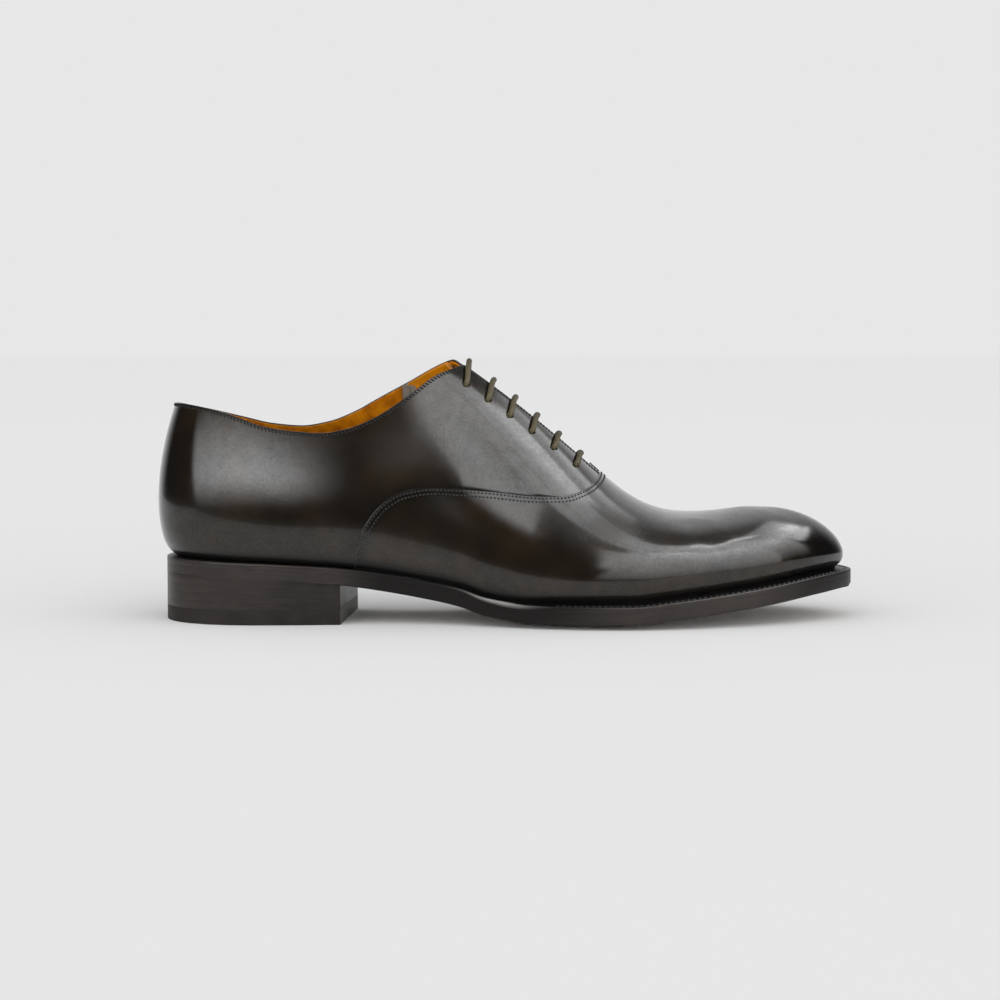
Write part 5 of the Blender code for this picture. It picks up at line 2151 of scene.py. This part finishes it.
@dataclass(frozen=True)
class Panel:
    """A soft light panel between four corners, that only glossy surfaces see.

    Its light grows with the height to the power of slope. It falls to the right by the share lean, or to
    the left where lean is below 0.
    """

    name: str
    corners: tuple[Colour, Colour, Colour, Colour]
    strength: float
    fade: Fade
    slope: float = 0.0
    lean: float = 0.0
    tint: Colour = (0.975, 0.99, 1.0)
    cells: int = 10

    def build(self) -> None:
        """Makes the panel, unseen by the camera and casting no shadow."""
        shares = np.linspace(0.0, 1.0, self.cells + 1)
        s, t = (grid[..., None] for grid in np.meshgrid(shares, shares, indexing="ij"))
        a, b, c, d = (np.array(corner) for corner in self.corners)
        points = ((1 - s) * (1 - t) * a + s * (1 - t) * b + s * t * c + (1 - s) * t * d).reshape(-1, 3)
        faces = grid_faces(np.arange(len(points)).reshape(len(shares), -1))
        layers = {"across": s.reshape(-1), "up": t.reshape(-1)}
        obj = make_piece(self.name, points, faces, layers)
        g = Graph(f"{self.name}_light")
        across, up = g.layer("across"), g.layer("up")
        share = across.ramp(0.0, self.fade.left) * (1 - across).ramp(0.0, self.fade.right)
        share = share * up.ramp(0.0, self.fade.low) * (1 - up).ramp(0.0, self.fade.high)
        level = (1 - (across if self.lean > 0 else 1 - across) * abs(self.lean)) * up**self.slope
        light = g.finish(
            Base_Color=(0.0, 0.0, 0.0, 1.0),
            Specular_IOR_Level=0.0,
            Emission_Color=g.blend(level, (0.0, 0.0, 0.0), self.tint),
            Emission_Strength=self.strength,
            Alpha=share,
        )
        obj.data.materials.append(light)
        obj.visible_camera = False
        obj.visible_diffuse = False
        obj.visible_shadow = False


FRONT_Y, BACK_Y, SIDE_X, TOP_Z, STRIP_Z = -0.13, -0.134, 0.36, 0.36, 0.356
PANELS = (
    Panel(
        "heel_panel",
        ((-0.285, FRONT_Y, 0.032), (-0.056, FRONT_Y, 0.06), (-0.056, FRONT_Y, 0.155), (-0.44, FRONT_Y, 0.26)),
        5.6,
        Fade(0.22, 0.19, 0.30, 0.78),
        lean=-0.45,
    ),
    Panel(
        "facing_panel",
        (
            (-0.0488, FRONT_Y, 0.088),
            (-0.018, FRONT_Y, 0.088),
            (0.066, FRONT_Y, 0.24),
            (-0.0285, FRONT_Y, 0.24),
        ),
        3.6,
        Fade(0.18, 0.10, 0.16, 0.002),
    ),
    Panel(
        "facing_top_panel",
        ((-0.0285, BACK_Y, 0.22), (0.096, BACK_Y, 0.22), (0.205, BACK_Y, TOP_Z), (-0.010, BACK_Y, TOP_Z)),
        3.6,
        Fade(0.18, 0.14, 0.15, 0.002),
    ),
    Panel(
        "toe_panel",
        ((0.024, FRONT_Y, 0.02), (SIDE_X, FRONT_Y, 0.005), (SIDE_X, FRONT_Y, TOP_Z), (0.156, FRONT_Y, TOP_Z)),
        7.2,
        Fade(0.04, 0.01, 0.02, 0.002),
        slope=0.5,
        lean=0.35,
    ),
    Panel(
        "block_panel",
        ((0.027, BACK_Y, 0.050), (0.062, BACK_Y, 0.050), (0.095, BACK_Y, 0.19), (0.042, BACK_Y, 0.15)),
        3.2,
        Fade(0.30, 0.01, 0.20, 0.25),
    ),
    Panel(
        "side_panel",
        ((SIDE_X, FRONT_Y, 0.045), (SIDE_X, -0.02, 0.055), (SIDE_X, 0.06, TOP_Z), (SIDE_X, FRONT_Y, TOP_Z)),
        4.8,
        Fade(0.01, 0.20, 0.02, 0.002),
        slope=1.1,
    ),
    Panel(
        "far_panel",
        ((SIDE_X, 0.03, 0.20), (SIDE_X, 0.34, 0.33), (SIDE_X, 0.34, TOP_Z), (SIDE_X, 0.03, TOP_Z)),
        4.0,
        Fade(0.01, 0.40, 0.30, 0.01),
    ),
    Panel(
        "top_panel",
        ((0.005, FRONT_Y, TOP_Z), (SIDE_X, FRONT_Y, TOP_Z), (SIDE_X, 0.0, TOP_Z), (0.155, 0.0, TOP_Z)),
        5.2,
        Fade(0.10, 0.01, 0.001, 0.001),
        lean=-0.4,
    ),
    Panel(
        "far_top_panel",
        ((0.183, 0.0, TOP_Z), (SIDE_X, 0.0, TOP_Z), (SIDE_X, 0.33, TOP_Z), (0.213, 0.33, TOP_Z)),
        4.8,
        Fade(0.06, 0.01, 0.001, 0.30),
        lean=-0.72,
    ),
    Panel(
        "top_strip",
        ((0.137, -0.10, STRIP_Z), (0.183, -0.10, STRIP_Z), (0.246, 0.085, STRIP_Z), (0.200, 0.085, STRIP_Z)),
        6.6,
        Fade(0.35, 0.35, 0.50, 0.22),
    ),
    Panel(
        "toe_spot",
        ((0.262, 0.12, STRIP_Z), (0.350, 0.12, STRIP_Z), (SIDE_X, 0.28, STRIP_Z), (0.290, 0.28, STRIP_Z)),
        5.2,
        Fade(0.15, 0.25, 0.30, 0.30),
    ),
)


@dataclass
class Studio:
    """A pale floor, soft light and the camera."""

    target: Colour = (-2.665 * MM, 0.3 * MM, 52.4 * MM)
    distance: float = 1250 * MM
    pitch: float = 4.6
    lens: float = 100.53
    backdrop: float = 0.799
    sky: float = 0.90
    low_light: float = 3.0
    low_height: float = 0.35
    front_share: float = 0.75
    bright: float = 0.75
    overhead: float = 0.25
    dim: float = 0.03
    floor_reach: float = 4.0
    floor_z: float = -0.05 * MM
    sheet: tuple[float, float, float] = (0.9, -0.5, 0.9)

    def camera(self) -> None:
        """Places the camera at the photograph's angle."""
        data = bpy.data.cameras.new("camera")
        data.lens, data.sensor_width = self.lens, 36.0
        data.clip_start, data.clip_end = 0.05, 50.0
        camera = bpy.data.objects.new("camera", data)
        down = math.radians(self.pitch)
        back = Vector((0.0, -math.cos(down), math.sin(down)))
        camera.location = Vector(self.target) + back * self.distance
        camera.rotation_euler = (math.pi / 2 - down, 0.0, 0.0)
        bpy.context.scene.collection.objects.link(camera)
        bpy.context.scene.camera = camera

    def floor(self) -> None:
        """Lays the sheet that the shoe stands on and, out of its reflections, the rest of the floor."""
        g = Graph("floor_paper")
        tone = g.noise(g.place(), 3.0, 1.0)
        paper = g.finish(
            Base_Color=g.blend(tone, (self.backdrop,) * 3, (self.backdrop * 1.004,) * 3),
            Roughness=1.0,
            Specular_IOR_Level=0.0,
        )
        r, (x, front, back) = self.floor_reach, self.sheet
        inner = [(-x, front), (x, front), (x, back), (-x, back)]
        outer = [(-r, -r), (r, -r), (r, r), (-r, r)]
        around = [(k, (k + 1) % 4, (k + 1) % 4 + 4, k + 4) for k in range(4)]
        for name, plan, faces in (("floor", inner, [(0, 1, 2, 3)]), ("floor_far", outer + inner, around)):
            points = np.array([(*place, self.floor_z) for place in plan])
            obj = make_piece(name, points, faces)
            obj.data.materials.append(paper)
            obj.visible_glossy = obj.visible_diffuse = name == "floor"

    def world(self) -> None:
        """Lights the floor from above, more from the front, and the gloss from behind."""
        g = Graph("room", True)
        way = g.node("ShaderNodeTexCoord", {}, {}).outputs["Generated"]
        far, up = g.axis(way, "Y"), g.axis(way, "Z")
        glow = far.ramp(0.45, 0.85, self.dim, self.bright) + up.ramp(0.5, 0.9, 0.0, self.overhead)
        rays = g.node("ShaderNodeLightPath", {}, {})
        seen, spread = Value(g, rays.outputs["Is Camera Ray"]), Value(g, rays.outputs["Is Diffuse Ray"])
        low = up.ramp(0.0, self.low_height, self.low_light, 0.0)
        soft = self.sky * (1 - far * self.front_share) * (1 + low)
        shade = glow * (1 - seen - spread) + seen * self.backdrop + spread * soft
        g.feed(g.shader.inputs["Color"], (1.0, 1.0, 1.0, 1.0))
        g.feed(g.shader.inputs["Strength"], shade)
        bpy.context.scene.world = g.material

    def build(self) -> None:
        """Sets the stage."""
        self.camera()
        self.floor()
        self.world()
        for panel in PANELS:
            panel.build()
        bpy.context.scene.view_settings.view_transform = "Standard"


def sew(last: Last, seam: Seam, shape: Quarters, vamp: Piece, quarters: Piece, welt: Piece) -> None:
    """Sews the vamp's two rows, the row under the top line, the bar tack and the welt.

    Args:
        last: The shape under the upper.
        seam: The vamp's edge.
        shape: The quarters' sizes.
        vamp: The vamp.
        quarters: The quarters.
        welt: The welt.
    """
    stitching = Stitching(last)
    thread = ThreadFinish()
    dark_thread = ThreadFinish(dark(thread.deep, 0.4), dark(thread.light, 0.25), 0.6)
    thin, kept = 12, slice(12, -3)
    for side in Side:
        t, v = (places[::thin] for places in seam.places[side])
        for number, distance in enumerate(VAMP_ROWS, start=1):
            curve, normals = (line[kept] for line in stitching.beside(t, v, distance))
            name = f"vamp_row_{number}_{side.name.lower()}"
            stitching.row(name, curve, normals, vamp, Sewing.VAMP, thread)
    end = float(last.station_at(VAMP_POINT - 1 * MM, Side.LATERAL))
    t = np.linspace(-end, end, TABLE_SAMPLES)
    facing = smooth_step(last.rail(t, Rail.CROWN_X), FACING_TOP - 6 * MM, FACING_TOP + 2 * MM)
    from_edge = shape.stitch_row + (shape.facing_row - shape.stitch_row) * facing
    curve, normals = stitching.beside(t, shape.edge(t), from_edge)
    stitching.row("edge_row", curve, normals, quarters, Sewing.EDGE, dark_thread)
    t = last.station_at(np.linspace(*TACK_X, 10), Side.LATERAL)
    crown = np.ones_like(t)
    curve = last.offset(t, crown, 0.6 * MM * crown)
    stitching.row("bar_tack", curve, last.normal(t, crown), None, Sewing.TACK, dark_thread)
    t = np.linspace(0.0, 2 * last.toe, TABLE_SAMPLES)
    ledge = last.rail(t, Rail.LEDGE)
    plan = last.plan(t, ledge * WELT_ROW_SHARE)
    plan = plan[(ledge > WELT_ROW_LEDGE) & (plan[:, 0] > WELT_ROW_X)]
    curve = np.column_stack([plan, welt_top_z(plan[:, 0])])
    stitching.row("welt_row", curve, np.tile([0.0, 0.0, 1.0], (len(curve), 1)), welt, Sewing.WELT, thread)


def main() -> None:
    """Builds the shoe piece by piece, then the stage round it."""
    logging.basicConfig(level=logging.INFO, format="%(relativeCreated)5d ms %(message)s")
    last = Last()
    seam = Seam(last)
    calf, lining_leather, edge = CalfFinish(), LiningFinish(), EdgeFinish()
    shape = Quarters(last, seam)
    vamp = Vamp(last, seam).build(calf)
    quarters = shape.build(calf)
    lining = Lining(last).build(lining_leather)
    Tongue(last).build(TongueFinish())
    Sock(last).build(lining_leather)
    welt = Welt(last).build(edge)
    Outsole(last).build(edge)
    Heel(last).build(edge, RubberFinish())
    holes = LaceHoles(last)
    log.info("lace: %.0f mm long", Lace(last, holes).build(CordFinish()) / MM)
    sew(last, seam, shape, vamp, quarters, welt)
    holes.punch(quarters, lining)
    Studio().build()


if __name__ == "__main__":
    main()
